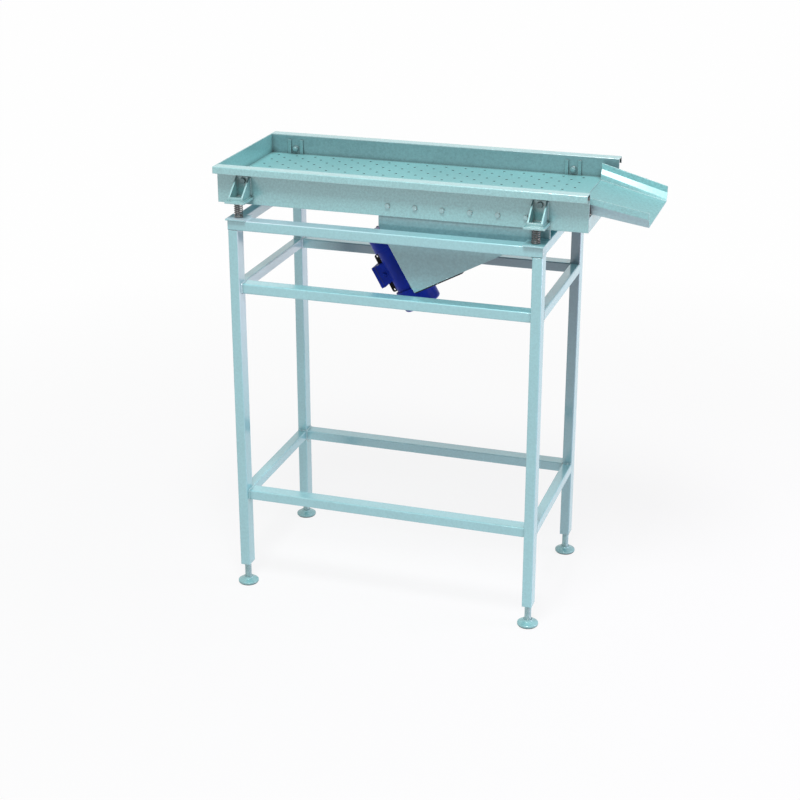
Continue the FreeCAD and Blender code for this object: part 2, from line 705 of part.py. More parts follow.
# Motor housing: a cast barrel on two feet, with a pad for the terminal box on its far side
BARREL_R = "(dims.barrel_dia / 2)"
BODY_START = f"({STATION} - dims.motor_body_length / 2)"
BODY_END = f"({STATION} + dims.motor_body_length / 2)"
BORE_R = f"({BARREL_R} - dims.motor_wall)"
FOOT_START = f"({STATION} - dims.motor_foot_length / 2)"
FOOT_FRONT = "(-dims.motor_foot_width / 2)"
BOX_START = f"({STATION} - dims.terminal_length / 2)"
BOX_FRONT = "(-dims.terminal_width / 2)"
BOX_SEAT = f"({AXIS_H} - {BARREL_R} + dims.terminal_sink)"
PAD_LENGTH = "(dims.terminal_length - dims.terminal_taper)"
housing_pieces = [
    rod("barrel", BARREL_R, "dims.motor_body_length", (BODY_START, "0", AXIS_H), ALONG_X, MOTOR),
    box("feet", (FOOT_START, FOOT_FRONT, "-dims.motor_foot_thick"),
        ("dims.motor_foot_length", "dims.motor_foot_width", "dims.motor_foot_thick"), MOTOR),
    box("neck",
        (f"{FOOT_START} + dims.motor_neck_step_x", f"{FOOT_FRONT} + dims.motor_neck_step_y", AXIS_H),
        ("dims.motor_foot_length - 2 * dims.motor_neck_step_x",
         "dims.motor_foot_width - 2 * dims.motor_neck_step_y", AXIS_RISE), MOTOR),
    box("terminal_pad", (BOX_START, BOX_FRONT, BOX_SEAT),
        (PAD_LENGTH, "dims.terminal_width", f"{AXIS_H} - {BOX_SEAT}"), MOTOR),
]
bore = rod("barrel_bore", BORE_R, "dims.motor_body_length", (BODY_START, "0", AXIS_H), ALONG_X, MOTOR)
housing = cut("housing", fuse("housing_cast", housing_pieces), [bore] + motor_holes("foot_hole"))
keep(housing, "motor_housing")

motor_bolts = [
    bolt(f"motor_bolt_{index}", "dims.motor_bolt_dia", "(dims.motor_foot_thick + dims.motor_plate_thick)",
         (s, y, "-dims.motor_foot_thick"), AGAINST_Z, MOTOR)
    for index, (s, y) in enumerate(motor_bolt_places)
]
group("motor_bolts", motor_bolts)

# Terminal box: a shell that sits on the barrel like a saddle, its lid, and the gland in its front wall
BOX_LOW = f"({BOX_SEAT} - dims.terminal_height)"
BOX_END = f"({BOX_START} + dims.terminal_length)"


def on_barrel(name, margin="0"):
    """The barrel's own round, or one a margin larger, to cut whatever sits on it."""
    start = (BODY_START, "0", AXIS_H)
    return rod(name, f"{BARREL_R} + {margin}", "dims.motor_body_length", start, ALONG_X, MOTOR)


terminal_blank = doc.addObject("PartDesign::Body", "terminal_blank")
pad(terminal_blank, outline(terminal_blank, "XZ_Plane", (
    (BOX_START, BOX_SEAT),
    (f"{BOX_START} + {PAD_LENGTH}", BOX_SEAT),
    (BOX_END, BOX_LOW),
    (BOX_START, BOX_LOW),
), BOX_FRONT), "dims.terminal_width")
place(terminal_blank, ("0", "0", "0"), frame=MOTOR)
hollow_box = box(
    "terminal_hollow_box",
    (f"{BOX_START} + dims.terminal_wall", f"{BOX_FRONT} + dims.terminal_wall", BOX_LOW),
    (f"{PAD_LENGTH} - 2 * dims.terminal_wall", "dims.terminal_width - 2 * dims.terminal_wall",
     "dims.terminal_height"), MOTOR)
hollow = cut("terminal_hollow", hollow_box, [on_barrel("terminal_floor", "dims.terminal_wall")])
GLAND_H = f"({BOX_SEAT} - dims.gland_drop)"
GLAND_ROOT = (STATION, f"{BOX_FRONT} + dims.terminal_wall", GLAND_H)
GLAND_FACE = (STATION, BOX_FRONT, GLAND_H)
THREAD_R = "(dims.gland_thread_dia / 2)"
gland_hole = rod("gland_hole", THREAD_R, "dims.terminal_wall", GLAND_ROOT, AGAINST_Y, MOTOR)
shell = cut("terminal_shell", terminal_blank, [on_barrel("terminal_saddle"), hollow, gland_hole])
keep(shell, "terminal_box")
lid = box("terminal_cover", (BOX_START, BOX_FRONT, f"{BOX_LOW} - dims.lid_thick"),
          ("dims.terminal_length", "dims.terminal_width", "dims.lid_thick"), MOTOR)
keep(lid, "terminal_box_lid")
gland_nut = hexagon("gland_nut", "dims.gland_dia", "dims.gland_length", GLAND_FACE, AGAINST_Y, MOTOR)
gland_thread = rod("gland_thread", THREAD_R, "dims.terminal_wall", GLAND_ROOT, AGAINST_Y, MOTOR)
gland_bore = rod("gland_bore", "dims.gland_bore_dia / 2", "dims.terminal_wall + dims.gland_length",
                 GLAND_ROOT, AGAINST_Y, MOTOR)
keep(cut("gland", fuse("gland_body", [gland_nut, gland_thread]), [gland_bore]), "cable_gland")

# Lifting lugs: a rib along the barrel at each end of the terminal box, with an eye near its outer end
LUG_H = f"({AXIS_H} - {BARREL_R} - dims.lug_rise)"
LUG_FRONT = "(-dims.lug_thick / 2)"
RIB_LOW = f"({LUG_H} - dims.lug_radius)"
RIB_RUN = "(dims.motor_body_length / 2 - dims.lug_inset)"
lugs = []
for index, (lug_s, rib_s, heel_s) in enumerate((
    (f"({BODY_START} + dims.lug_inset)", f"({BODY_START} + dims.lug_inset)", "-dims.lug_radius"),
    (f"({BODY_END} - dims.lug_inset)", STATION, "0"),
)):
    at = (lug_s, LUG_FRONT, LUG_H)
    blank = fuse(f"lug_{index}_blank", [
        rod(f"lug_{index}_eye", "dims.lug_radius", "dims.lug_thick", at, ALONG_Y, MOTOR),
        box(f"lug_{index}_heel", (f"{lug_s} + {heel_s}", LUG_FRONT, LUG_H),
            ("dims.lug_radius", "dims.lug_thick", f"{AXIS_H} - {LUG_H}"), MOTOR),
        box(f"lug_{index}_rib", (rib_s, LUG_FRONT, RIB_LOW),
            (RIB_RUN, "dims.lug_thick", f"{AXIS_H} - {RIB_LOW}"), MOTOR),
    ])
    hole = rod(f"lug_{index}_hole", "dims.lug_hole_dia / 2", "dims.lug_thick", at, ALONG_Y, MOTOR)
    lugs.append(cut(f"lug_{index}", blank, [on_barrel(f"lug_{index}_seat"), terminal_blank, hole]))
group("lifting_lugs", lugs)

# Bearing flanges, bearings and end covers at both ends of the barrel
COVER_R = "(dims.motor_dia / 2)"
SHAFT_R = "(dims.shaft_dia / 2)"
BEARING_R = "(dims.bearing_dia / 2)"
COVER_IN = f"({COVER_R} - dims.cover_wall)"
COVER_END = "(dims.flange_thick + dims.cover_length)"
bearings = []
for end_name, start, direction in (("upper", BODY_START, AGAINST_X), ("lower", BODY_END, ALONG_X)):
    at = (start, "0", AXIS_H)
    flange = turned(f"flange_{end_name}", (
        (BEARING_R, "0"),
        (COVER_R, "0"),
        (COVER_R, "dims.flange_thick"),
        (BEARING_R, "dims.flange_thick"),
    ), at, direction, MOTOR)
    keep(flange, f"bearing_flange_{end_name}")
    bearings.append(turned(f"bearing_{end_name}", (
        (f"{SHAFT_R} + dims.bearing_fit", "0"),
        (BEARING_R, "0"),
        (BEARING_R, "dims.flange_thick"),
        (f"{SHAFT_R} + dims.bearing_fit", "dims.flange_thick"),
    ), at, direction, MOTOR))
    cover = turned(f"cover_{end_name}", (
        (COVER_IN, "dims.flange_thick"),
        (COVER_R, "dims.flange_thick"),
        (COVER_R, COVER_END),
        ("0", COVER_END),
        ("0", f"{COVER_END} - dims.cover_wall"),
        (COVER_IN, f"{COVER_END} - dims.cover_wall"),
    ), at, direction, MOTOR)

    def far_rim(edge, body=cover):
        local = body.Placement.inverse().multVec(edge.valueAt(edge.FirstParameter))
        is_rim = abs(local.x ** 2 + local.y ** 2 - (dims.motor_dia / 2) ** 2) < 1
        return is_rim and abs(local.z - dims.flange_thick - dims.cover_length) < 0.01 and edge.Closed

    rounded = round_edges(f"cover_{end_name}_rounded", cover, dims.cover_round, far_rim)
    keep(rounded, f"end_cover_{end_name}")
group("motor_bearings", bearings)

stator = turned("stator_ring", (
    ("dims.core_dia / 2 + dims.air_gap", "0"),
    (f"{BORE_R} - dims.bearing_fit", "0"),
    (f"{BORE_R} - dims.bearing_fit", "dims.stator_length"),
    ("dims.core_dia / 2 + dims.air_gap", "dims.stator_length"),
), (f"{STATION} - dims.stator_length / 2", "0", AXIS_H), ALONG_X, MOTOR)
keep(stator, "stator")

# Rotor: the shaft with its core, and an eccentric weight near each end, heavy side down
CORE_R = "(dims.core_dia / 2)"
SHAFT_END = "(dims.flange_thick + dims.weight_gap + dims.weight_thick + dims.shaft_past_weight)"
SHAFT_LENGTH = f"(dims.motor_body_length + 2 * {SHAFT_END})"
CORE_LOW = f"({SHAFT_LENGTH} - dims.core_length) / 2"
CORE_HIGH = f"({SHAFT_LENGTH} + dims.core_length) / 2"
shaft = turned("shaft", (
    ("0", "0"),
    (SHAFT_R, "0"),
    (SHAFT_R, CORE_LOW),
    (CORE_R, CORE_LOW),
    (CORE_R, CORE_HIGH),
    (SHAFT_R, CORE_HIGH),
    (SHAFT_R, SHAFT_LENGTH),
    ("0", SHAFT_LENGTH),
), (f"{STATION} - {SHAFT_LENGTH} / 2", "0", AXIS_H), ALONG_X, MOTOR)
keep(shaft, "rotor_shaft")
WEIGHT_R = "(dims.weight_dia / 2)"
weights = []
weight_starts = (
    f"{BODY_START} - dims.flange_thick - dims.weight_gap - dims.weight_thick",
    f"{BODY_END} + dims.flange_thick + dims.weight_gap",
)
for index, start in enumerate(weight_starts):
    at = (start, "0", AXIS_H)
    disc = rod(f"weight_{index}_disc", WEIGHT_R, "dims.weight_thick", at, ALONG_X, MOTOR)
    lighter_half = box(f"weight_{index}_half", (start, f"-{WEIGHT_R}", AXIS_H),
                       ("dims.weight_thick", f"2 * {WEIGHT_R}", WEIGHT_R), MOTOR)
    hub = rod(f"weight_{index}_hub", "dims.weight_hub_dia / 2", "dims.weight_thick", at, ALONG_X, MOTOR)
    eye = rod(f"weight_{index}_eye", SHAFT_R, "dims.weight_thick", at, ALONG_X, MOTOR)
    heavy_half = cut(f"weight_{index}_heavy", disc, [lighter_half])
    weights.append(cut(f"weight_{index}", fuse(f"weight_{index}_blank", [heavy_half, hub]), [eye]))
group("eccentric_weights", weights)

# Discharge chute: a folded trough that drops and narrows from the deck's end to the outlet


def chute_section(end, half, floor):
    """Trough section with a kneed side, as one closed outline of the sheet's two faces."""
    knee_low = f"{floor} + dims.chute_{end}_knee_low"
    knee_high = f"{floor} + dims.chute_{end}_knee_high"
    rim = f"{floor} + dims.chute_{end}_depth"
    skin = "dims.chute_sheet"
    right = (
        (f"({half} - dims.chute_floor_in)", floor),
        (f"({half} - dims.chute_knee_in)", knee_low),
        (f"({half})", knee_high),
        (f"({half})", rim),
        (f"({half} + {skin})", rim),
        (f"({half} + {skin})", f"{knee_high} - {skin} / 3"),
        (f"({half} - dims.chute_knee_in + {skin})", f"{knee_low} - {skin} / 3"),
        (f"({half} - dims.chute_floor_in + {skin})", f"{floor} - {skin}"),
    )
    left = tuple((f"-{y}", z) for y, z in reversed(right))
    return right + left


INLET_HALF = f"({WALL_IN} - dims.chute_inlet_step)"
OUTLET_HALF = f"({INLET_HALF} - dims.chute_narrowing)"
chute = doc.addObject("PartDesign::Body", "chute")
OUTLET_Z = f"{DECK_Z} - dims.chute_drop"
inlet = outline(chute, "YZ_Plane", chute_section("inlet", INLET_HALF, DECK_Z), DECK_RIGHT)
outlet = outline(chute, "YZ_Plane", chute_section("outlet", OUTLET_HALF, OUTLET_Z), OUTLET_X)
trough = chute.newObject("PartDesign::AdditiveLoft", "chute_trough")
trough.Profile = inlet
trough.Sections = [outlet]
trough.Ruled = True
for row_name, row in ROWS:
    wing = outline(chute, "YZ_Plane", (
        (f"{row} * {INLET_HALF}", f"{DECK_Z} + dims.chute_inlet_knee_high"),
        (f"{row} * {WALL_IN}", f"{DECK_Z} + dims.chute_inlet_knee_high"),
        (f"{row} * {WALL_IN}", f"{DECK_Z} - dims.chute_sheet"),
        (f"{row} * ({INLET_HALF} - dims.chute_floor_in)", f"{DECK_Z} - dims.chute_sheet"),
        (f"{row} * ({INLET_HALF} - dims.chute_floor_in)", DECK_Z),
        (f"{row} * ({INLET_HALF} - dims.chute_knee_in)", f"{DECK_Z} + dims.chute_inlet_knee_low"),
    ), DECK_RIGHT)
    pad(chute, wing, "dims.chute_sheet")
keep(chute, "discharge_chute")

# Deck: a plate with two interleaved square grids of holes
deck = doc.addObject("PartDesign::Body", "deck")
pad(deck, outline(deck, "XY_Plane", (
    (DECK_LEFT, f"-{WALL_IN}"),
    (DECK_RIGHT, f"-{WALL_IN}"),
    (DECK_RIGHT, WALL_IN),
    (DECK_LEFT, WALL_IN),
), f"{DECK_Z} - dims.deck_thick"), "dims.deck_thick")
GRID = "(2 * dims.hole_step)"
FIRST_X = f"({DECK_LEFT} + dims.hole_margin_x)"
LAST_X = f"({DECK_RIGHT} - dims.hole_margin_x)"
HALF_Y = f"({WALL_IN} - dims.hole_margin_y)"
HOLE_SIDES = 8
HOLE_CORNER_R = f"(dims.hole_dia / 2 / cos(180 / {HOLE_SIDES}))"
for shift in ("0", "dims.hole_step"):
    columns = f"(floor(({LAST_X} - {FIRST_X} - {shift}) / {GRID}) + 1)"
    half_rows = f"floor(({HALF_Y} - {shift}) / {GRID})"
    first_y = f"(-{half_rows} * {GRID} - {shift})"
    rows = f"round(-2 * {first_y} / {GRID} + 1)"
    start = outline(deck, "XY_Plane", polygon(f"{FIRST_X} + {shift}", first_y, HOLE_CORNER_R, HOLE_SIDES))
    hole = drill(deck, start)
    doc.recompute()
    grid = deck.newObject("PartDesign::MultiTransform", "deck_grid")
    grid.Originals = [hole]
    steps = []
    for axis, count in (("H_Axis", columns), ("V_Axis", rows)):
        step = deck.newObject("PartDesign::LinearPattern", "deck_step")
        step.Direction = (start, [axis])
        step.setExpression("Length", f"{GRID} * ({count} - 1)")
        step.setExpression("Occurrences", count)
        steps.append(step)
    grid.Transformations = steps
    deck.Tip = grid
keep(deck, "perforated_deck")

doc.recompute()
for obj in doc.Objects:
    if "Invalid" in obj.State or "Error" in obj.State:
        raise RuntimeError(f"{obj.Label} failed: {obj.State}")
for node in nodes:
    if node.Shape.isNull() or not node.Shape.isValid() or not node.Shape.Solids:
        raise RuntimeError(f"{node.Label} has no valid solid")

os.makedirs("parts", exist_ok=True)
for node in nodes:
    node.Shape.exportStep(f"parts/{node.Label}.step")
    bounds = node.Shape.BoundBox
    print(node.Label, len(node.Shape.Solids), round(node.Shape.Volume / 1000, 1), "cm3",
          [round(v, 1) for v in (bounds.XMin, bounds.YMin, bounds.ZMin)],
          [round(v, 1) for v in (bounds.XMax, bounds.YMax, bounds.ZMax)])
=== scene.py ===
import math

import bmesh
import bpy
from mathutils import Matrix, Vector


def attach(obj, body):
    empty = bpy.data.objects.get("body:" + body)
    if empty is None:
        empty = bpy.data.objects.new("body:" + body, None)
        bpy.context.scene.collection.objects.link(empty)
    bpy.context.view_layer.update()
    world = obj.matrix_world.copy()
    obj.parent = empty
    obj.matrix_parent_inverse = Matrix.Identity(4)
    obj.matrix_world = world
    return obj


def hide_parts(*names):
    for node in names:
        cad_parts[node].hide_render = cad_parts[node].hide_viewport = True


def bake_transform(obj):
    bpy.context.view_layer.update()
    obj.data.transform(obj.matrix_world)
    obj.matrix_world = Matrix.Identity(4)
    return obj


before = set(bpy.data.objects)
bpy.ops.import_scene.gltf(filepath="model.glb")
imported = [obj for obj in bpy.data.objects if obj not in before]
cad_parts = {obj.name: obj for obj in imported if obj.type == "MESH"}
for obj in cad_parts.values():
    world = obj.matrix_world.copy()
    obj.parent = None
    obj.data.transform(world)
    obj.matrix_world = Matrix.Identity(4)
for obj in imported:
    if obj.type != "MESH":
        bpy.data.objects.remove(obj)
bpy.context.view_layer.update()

# Studio: a pale floor that runs out to white on all sides, a white surround, a high soft lamp in front
# and a tall one close on the right. The camera stands where the photograph was taken.
scene = bpy.context.scene
scene.view_settings.view_transform = "Standard"


def set_inputs(tree, node, inputs):
    """Links an input that is given as a socket and sets any other as a value."""
    for name, value in inputs.items():
        if isinstance(value, bpy.types.NodeSocket):
            tree.links.new(value, node.inputs[name])
        else:
            node.inputs[name].default_value = value


def add_node(tree, kind, inputs=None, **settings):
    """Adds a shader node with its settings and inputs."""
    made = tree.nodes.new(kind)
    for name, value in settings.items():
        setattr(made, name, value)
    set_inputs(tree, made, inputs or {})
    return made


def work_out(tree, operation, *values):
    """Reckons with sockets or numbers."""
    return add_node(tree, "ShaderNodeMath", dict(enumerate(values)), operation=operation).outputs[0]


def graded(tree, value, start, end, at_start=0.0, at_end=1.0):
    """Grades a value over a range and keeps it level beyond both ends."""
    return add_node(tree, "ShaderNodeMapRange", {"Value": value, "From Min": start, "From Max": end,
                                                 "To Min": at_start, "To Max": at_end}).outputs[0]


def place_on(tree):
    """Place on the object, in metres."""
    return add_node(tree, "ShaderNodeTexCoord").outputs["Object"]


def seen_directly(tree):
    """1 for rays from the camera, a mirror surface or glass, 0 for the light that falls on the object."""
    rays = add_node(tree, "ShaderNodeLightPath").outputs
    shiny = work_out(tree, "MAXIMUM", rays["Is Glossy Ray"], rays["Is Transmission Ray"])
    return work_out(tree, "MAXIMUM", rays["Is Camera Ray"], shiny)


camera = bpy.data.objects.new("camera", bpy.data.cameras.new("camera"))
camera.data.lens = 75
camera.data.sensor_width = 36
camera.location = (1.7637, -6.0532, 3.2826)
camera.rotation_euler = (math.radians(68.32), 0, math.radians(17.82))
scene.collection.objects.link(camera)
scene.camera = camera

SURROUND_LIGHT = 0.22
surround = bpy.data.worlds.new("surround")
surround.use_nodes = True
scene.world = surround
sky = surround.node_tree
sky.nodes.clear()
white_wall = add_node(sky, "ShaderNodeBackground", {"Color": (1, 1, 1, 1), "Strength": 1.0})
soft_light = add_node(sky, "ShaderNodeBackground", {"Color": (0.97, 0.98, 1.0, 1), "Strength": SURROUND_LIGHT})
both = add_node(sky, "ShaderNodeMixShader", {0: seen_directly(sky), 1: soft_light.outputs[0],
                                             2: white_wall.outputs[0]})
add_node(sky, "ShaderNodeOutputWorld", {"Surface": both.outputs[0]})

FLOOR_REACH, FLOOR_DROP = 40.0, 0.0005
FLOOR_GLOW, FAR_GLOW = 0.87, 0.99
NEAR_FLOOR, FAR_FLOOR = 1.2, 4.5
floor_mesh = bpy.data.meshes.new("floor")
floor_mesh.from_pydata([(x * FLOOR_REACH, y * FLOOR_REACH, -FLOOR_DROP)
                        for x, y in ((-1, -1), (1, -1), (1, 1), (-1, 1))], [], [(0, 1, 2, 3)])
floor = bpy.data.objects.new("floor", floor_mesh)
scene.collection.objects.link(floor)
floor_finish = bpy.data.materials.new("pale_floor")
floor_finish.use_nodes = True
pale = floor_finish.node_tree
pale.nodes.clear()
matt = add_node(pale, "ShaderNodeBsdfDiffuse", {"Color": (0.93, 0.93, 0.97, 1)})
glow = add_node(pale, "ShaderNodeEmission", {"Color": (1, 1, 1, 1), "Strength": 1.0})
away = add_node(pale, "ShaderNodeVectorMath", {0: place_on(pale)}, operation="LENGTH").outputs["Value"]
share = work_out(pale, "MULTIPLY", seen_directly(pale),
                 graded(pale, away, NEAR_FLOOR, FAR_FLOOR, FLOOR_GLOW, FAR_GLOW))
blank = add_node(pale, "ShaderNodeMixShader", {0: share, 1: matt.outputs[0], 2: glow.outputs[0]})
add_node(pale, "ShaderNodeOutputMaterial", {"Surface": blank.outputs[0]})
floor_mesh.materials.append(floor_finish)

for lamp_name, stand_at, aim, power, wide, high, colour in (
    ("high_lamp", (0.2, -2.7, 6.4), (0.0, 0.0, 1.2), 265, 1.8, 1.8, (1.0, 1.0, 0.99)),
    ("right_lamp", (3.6, 0.3, 1.4), (0.3, 0.0, 1.1), 52, 1.6, 2.2, (0.97, 0.80, 1.0)),
):
    lamp = bpy.data.objects.new(lamp_name, bpy.data.lights.new(lamp_name, "AREA"))
    lamp.data.energy = power
    lamp.data.shape = "RECTANGLE"
    lamp.data.size = wide
    lamp.data.size_y = high
    lamp.data.color = colour
    lamp.location = stand_at
    lamp.rotation_euler = (Vector(aim) - Vector(stand_at)).to_track_quat("-Z", "Y").to_euler()
    scene.collection.objects.link(lamp)

# Stand tubes: legs and three rings of rails in 60 x 40 mm tube, cut square, welded and sprayed with a pale
# turquoise enamel under clear lacquer. The rear tubes' front faces carry a painted shadow of the tray, greyer
# and with less lacquer, and the left tubes carry painted light, paler on their inner and upper faces.


def new_material(name):
    """An empty finish, its tree and its shader."""
    material = bpy.data.materials.new(name)
    material.use_nodes = True
    return material, material.node_tree, material.node_tree.nodes["Principled BSDF"]


def opened(material):
    """A finish's tree, its shader and the colour that reaches it, for a change to that colour."""
    tree = material.node_tree
    shader = tree.nodes["Principled BSDF"]
    return tree, shader, shader.inputs["Base Color"].links[0].from_socket


def noise(tree, place, scale, detail, rough=0.5):
    """Cloudy noise about one half."""
    return add_node(tree, "ShaderNodeTexNoise", {"Vector": place, "Scale": scale, "Detail": detail,
                                                 "Roughness": rough}).outputs["Fac"]


def mixed(tree, share, first, second):
    """Mixes two colours, each a socket or plain red, green and blue."""
    first, second = (colour if isinstance(colour, bpy.types.NodeSocket) else (*colour, 1)
                     for colour in (first, second))
    return add_node(tree, "ShaderNodeMix", {0: share, 6: first, 7: second}, data_type="RGBA").outputs[2]


def toned(tree, colour, tone):
    """Makes a colour darker or lighter."""
    return add_node(tree, "ShaderNodeVectorMath", {0: colour, "Scale": tone}, operation="SCALE").outputs[0]


def filtered(tree, share, colour, tint):
    """Takes a colour down by a tint, as far as the share goes."""
    sieve = mixed(tree, share, (1, 1, 1), tint)
    return add_node(tree, "ShaderNodeVectorMath", {0: colour, 1: sieve}, operation="MULTIPLY").outputs[0]


def overlap(tree, first, *others):
    """The share where all the given shares hold."""
    for other in others:
        first = work_out(tree, "MULTIPLY", first, other)
    return first


def axes_of(tree, vector):
    """X, Y and Z of a place or direction."""
    return add_node(tree, "ShaderNodeSeparateXYZ", {0: vector}).outputs


def face_way(tree):
    """The way a face looks, without any rounding."""
    return add_node(tree, "ShaderNodeNewGeometry").outputs["True Normal"]


def rounded_edges(tree, radius):
    """Normal that rounds the edges off."""
    return add_node(tree, "ShaderNodeBevel", {"Radius": radius}, samples=4).outputs[0]


def edge_share(tree, rounded, most):
    """Rises along the edges, where the rounded normal leaves the face's own."""
    flat = add_node(tree, "ShaderNodeNewGeometry").outputs["Normal"]
    along = add_node(tree, "ShaderNodeVectorMath", {0: rounded, 1: flat}, operation="DOT_PRODUCT")
    return graded(tree, along.outputs["Value"], 0.99, 0.80, 0.0, most)


def bumpy(tree, height, strength, depth, normal=None):
    """Normal of an uneven skin."""
    inputs = {"Height": height, "Strength": strength, "Distance": depth}
    if normal:
        inputs["Normal"] = normal
    return add_node(tree, "ShaderNodeBump", inputs).outputs[0]


def enamel(name, tint, edge_tint, rough=0.5, grain=0.13, lacquer=1.0, depth=2.2):
    """Sprayed enamel under lacquer: cloudy tone, speckle, orange peel, painted shade in corners, thin bright
    edges.
    """
    material, tree, shader = new_material(name)
    place = place_on(tree)
    cloud = noise(tree, place, 3.0, 4.0)
    speck = graded(tree, noise(tree, place, 110.0, 4.0, 0.75), 0.36, 0.64)
    peel = noise(tree, place, 460.0, 1.0)
    dark_tint = [channel * (1 - grain) for channel in tint]
    flake_tint = [channel * (1 + grain) + grain * 0.12 for channel in tint]
    # Painted shade: the base colour is darkened in corners and recesses, where shade falls.
    corner_shade = add_node(tree, "ShaderNodeAmbientOcclusion", {"Distance": 0.035}, samples=8).outputs["AO"]
    shade = work_out(tree, "MULTIPLY", graded(tree, cloud, 0.3, 0.7, 0.95, 1.05),
                     graded(tree, corner_shade, 0.25, 0.8, 0.2, 1.0))
    coat = toned(tree, mixed(tree, speck, dark_tint, flake_tint), shade)
    rounded = rounded_edges(tree, 0.0026)
    worn = work_out(tree, "MULTIPLY", edge_share(tree, rounded, 1.3), cloud)
    peeled = bumpy(tree, peel, 0.12, 0.0006, rounded)
    set_inputs(tree, shader, {
        "Base Color": mixed(tree, worn, coat, edge_tint),
        "Roughness": graded(tree, cloud, 0.3, 0.7, rough - 0.06, rough + 0.08),
        "Normal": peeled, "Coat Normal": peeled, "Metallic": 0.2, "Specular IOR Level": 0.2,
        "Coat Weight": lacquer, "Coat Roughness": 0.11, "Coat IOR": depth})
    return material


def finish_nodes(material, *names):
    """Gives CAD nodes their finish."""
    for name in names:
        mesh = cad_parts[name].data
        mesh.materials.clear()
        mesh.materials.append(material)


def named(*starts):
    """CAD nodes whose names begin with one of these words."""
    return [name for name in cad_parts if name.startswith(starts)]


TURQUOISE, THIN_TURQUOISE = (0.29, 0.60, 0.62), (0.82, 0.92, 0.93)
STAND_TURQUOISE, LIT_TURQUOISE, TRAY_SHADOW_TINT = (0.315, 0.66, 0.71), (0.74, 0.86, 0.96), (0.62, 0.42, 0.46)
SQUARE_ON = 0.5
REAR_FROM, LEFT_UP_TO, TOP_FROM = 0.25, -0.45, 1.5
SHADOW_ALONG, SHADOW_UP = (-0.71, -0.52), (0.4, 1.35, 0.35, 1.0)
SIDE_LIGHT_UP, TOP_LIGHT_ALONG = (0.8, 1.3, 0.0, 0.75), (0.1, -0.7, 0.0, 0.8)
SHADOW_LACQUER = 0.5
stand_paint = enamel("stand_paint", STAND_TURQUOISE, THIN_TURQUOISE, grain=0.05)
tubes, tube_shader, tube_coat = opened(stand_paint)
tube_spot, tube_face = axes_of(tubes, place_on(tubes)), axes_of(tubes, face_way(tubes))
# Painted shadow of the tray: the rear tubes' front faces greyer, with less lacquer.
painted_tray_shadow = overlap(tubes, work_out(tubes, "LESS_THAN", tube_face["Y"], -SQUARE_ON),
                 work_out(tubes, "GREATER_THAN", tube_spot["Y"], REAR_FROM),
                 graded(tubes, tube_spot["X"], *SHADOW_ALONG), graded(tubes, tube_spot["Z"], *SHADOW_UP))
# Painted light: the left tubes paler on their inner faces and on the tops under the tray.
painted_side_light = overlap(tubes, work_out(tubes, "GREATER_THAN", tube_face["X"], SQUARE_ON),
                      work_out(tubes, "LESS_THAN", tube_spot["X"], LEFT_UP_TO),
                      graded(tubes, tube_spot["Z"], *SIDE_LIGHT_UP))
painted_top_light = overlap(tubes, work_out(tubes, "GREATER_THAN", tube_face["Z"], SQUARE_ON),
                     work_out(tubes, "GREATER_THAN", tube_spot["Z"], TOP_FROM),
                     graded(tubes, tube_spot["X"], *TOP_LIGHT_ALONG))
painted_light_share = work_out(tubes, "MAXIMUM", painted_side_light, painted_top_light)
lit_coat = mixed(tubes, painted_light_share, tube_coat, LIT_TURQUOISE)
set_inputs(tubes, tube_shader, {"Base Color": filtered(tubes, painted_tray_shadow, lit_coat, TRAY_SHADOW_TINT),
                                "Coat Weight": graded(tubes, painted_tray_shadow, 0.0, 1.0, 1.0, SHADOW_LACQUER)})
finish_nodes(stand_paint, *named("leg_front", "leg_rear", "upper_rail", "middle_rail", "lower_rail"))
plug_paint = enamel("plug_paint", (0.27, 0.57, 0.61), THIN_TURQUOISE, rough=0.6)
finish_nodes(plug_paint, "rail_end_caps", "leg_end_plugs")

# Stand welds: hand-laid fillet beads of steel where rails meet legs, with the ripples of the arc.
# They were painted over with the tubes.
MM = 0.001
X, Y, Z = Vector((1, 0, 0)), Vector((0, 1, 0)), Vector((0, 0, 1))


def finish_piece(name, shape, materials, body, crease=30):
    """Turns a mesh drawn in millimetres into a piece that rides on a body."""
    bmesh.ops.scale(shape, vec=(MM, MM, MM), verts=shape.verts)
    bmesh.ops.recalc_face_normals(shape, faces=shape.faces)
    mesh = bpy.data.meshes.new(name)
    shape.to_mesh(mesh)
    shape.free()
    mesh.shade_smooth()
    mesh.set_sharp_from_angle(angle=math.radians(crease))
    for material in materials:
        mesh.materials.append(material)
    piece = bpy.data.objects.new(name, mesh)
    scene.collection.objects.link(piece)
    if body:
        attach(piece, body)
    return piece


def cover(shape, rings, capped=True):
    """Joins rings of points with faces and closes the two ends."""
    for low, high in zip(rings, rings[1:]):
        for step in range(len(low)):
            after = (step + 1) % len(low)
            shape.faces.new((low[step], low[after], high[after], high[step]))
    if capped:
        shape.faces.new(reversed(rings[0]))
        shape.faces.new(rings[-1])


def weld_bead(shape, start, end, face_a, face_b, leg=4.0):
    """Rippled fillet bead along a corner; the two faces' normals span the open side of it."""
    start, run = Vector(start), Vector(end) - Vector(start)
    length = run.length
    steps = max(int(length / 2.0), 4)
    rings = []
    for step in range(steps + 1):
        share_along = step / steps
        to_end = min(share_along, 1 - share_along) * length
        ripple = 1 + 0.13 * math.sin(share_along * length * 1.45) + 0.05 * math.sin(share_along * length * 0.37)
        size = leg * ripple * (0.35 + 0.65 * min(to_end / leg, 1.0))
        at = start + run * share_along
        ring = [shape.verts.new(at - (face_a + face_b) * 0.2)]
        for part in range(6):
            turn = math.radians(90 * part / 5)
            bulge = size * (1 - 0.16 * math.sin(2 * turn))
            ring.append(shape.verts.new(at + (face_a * math.cos(turn) + face_b * math.sin(turn)) * bulge))
        rings.append(ring)
    cover(shape, rings)


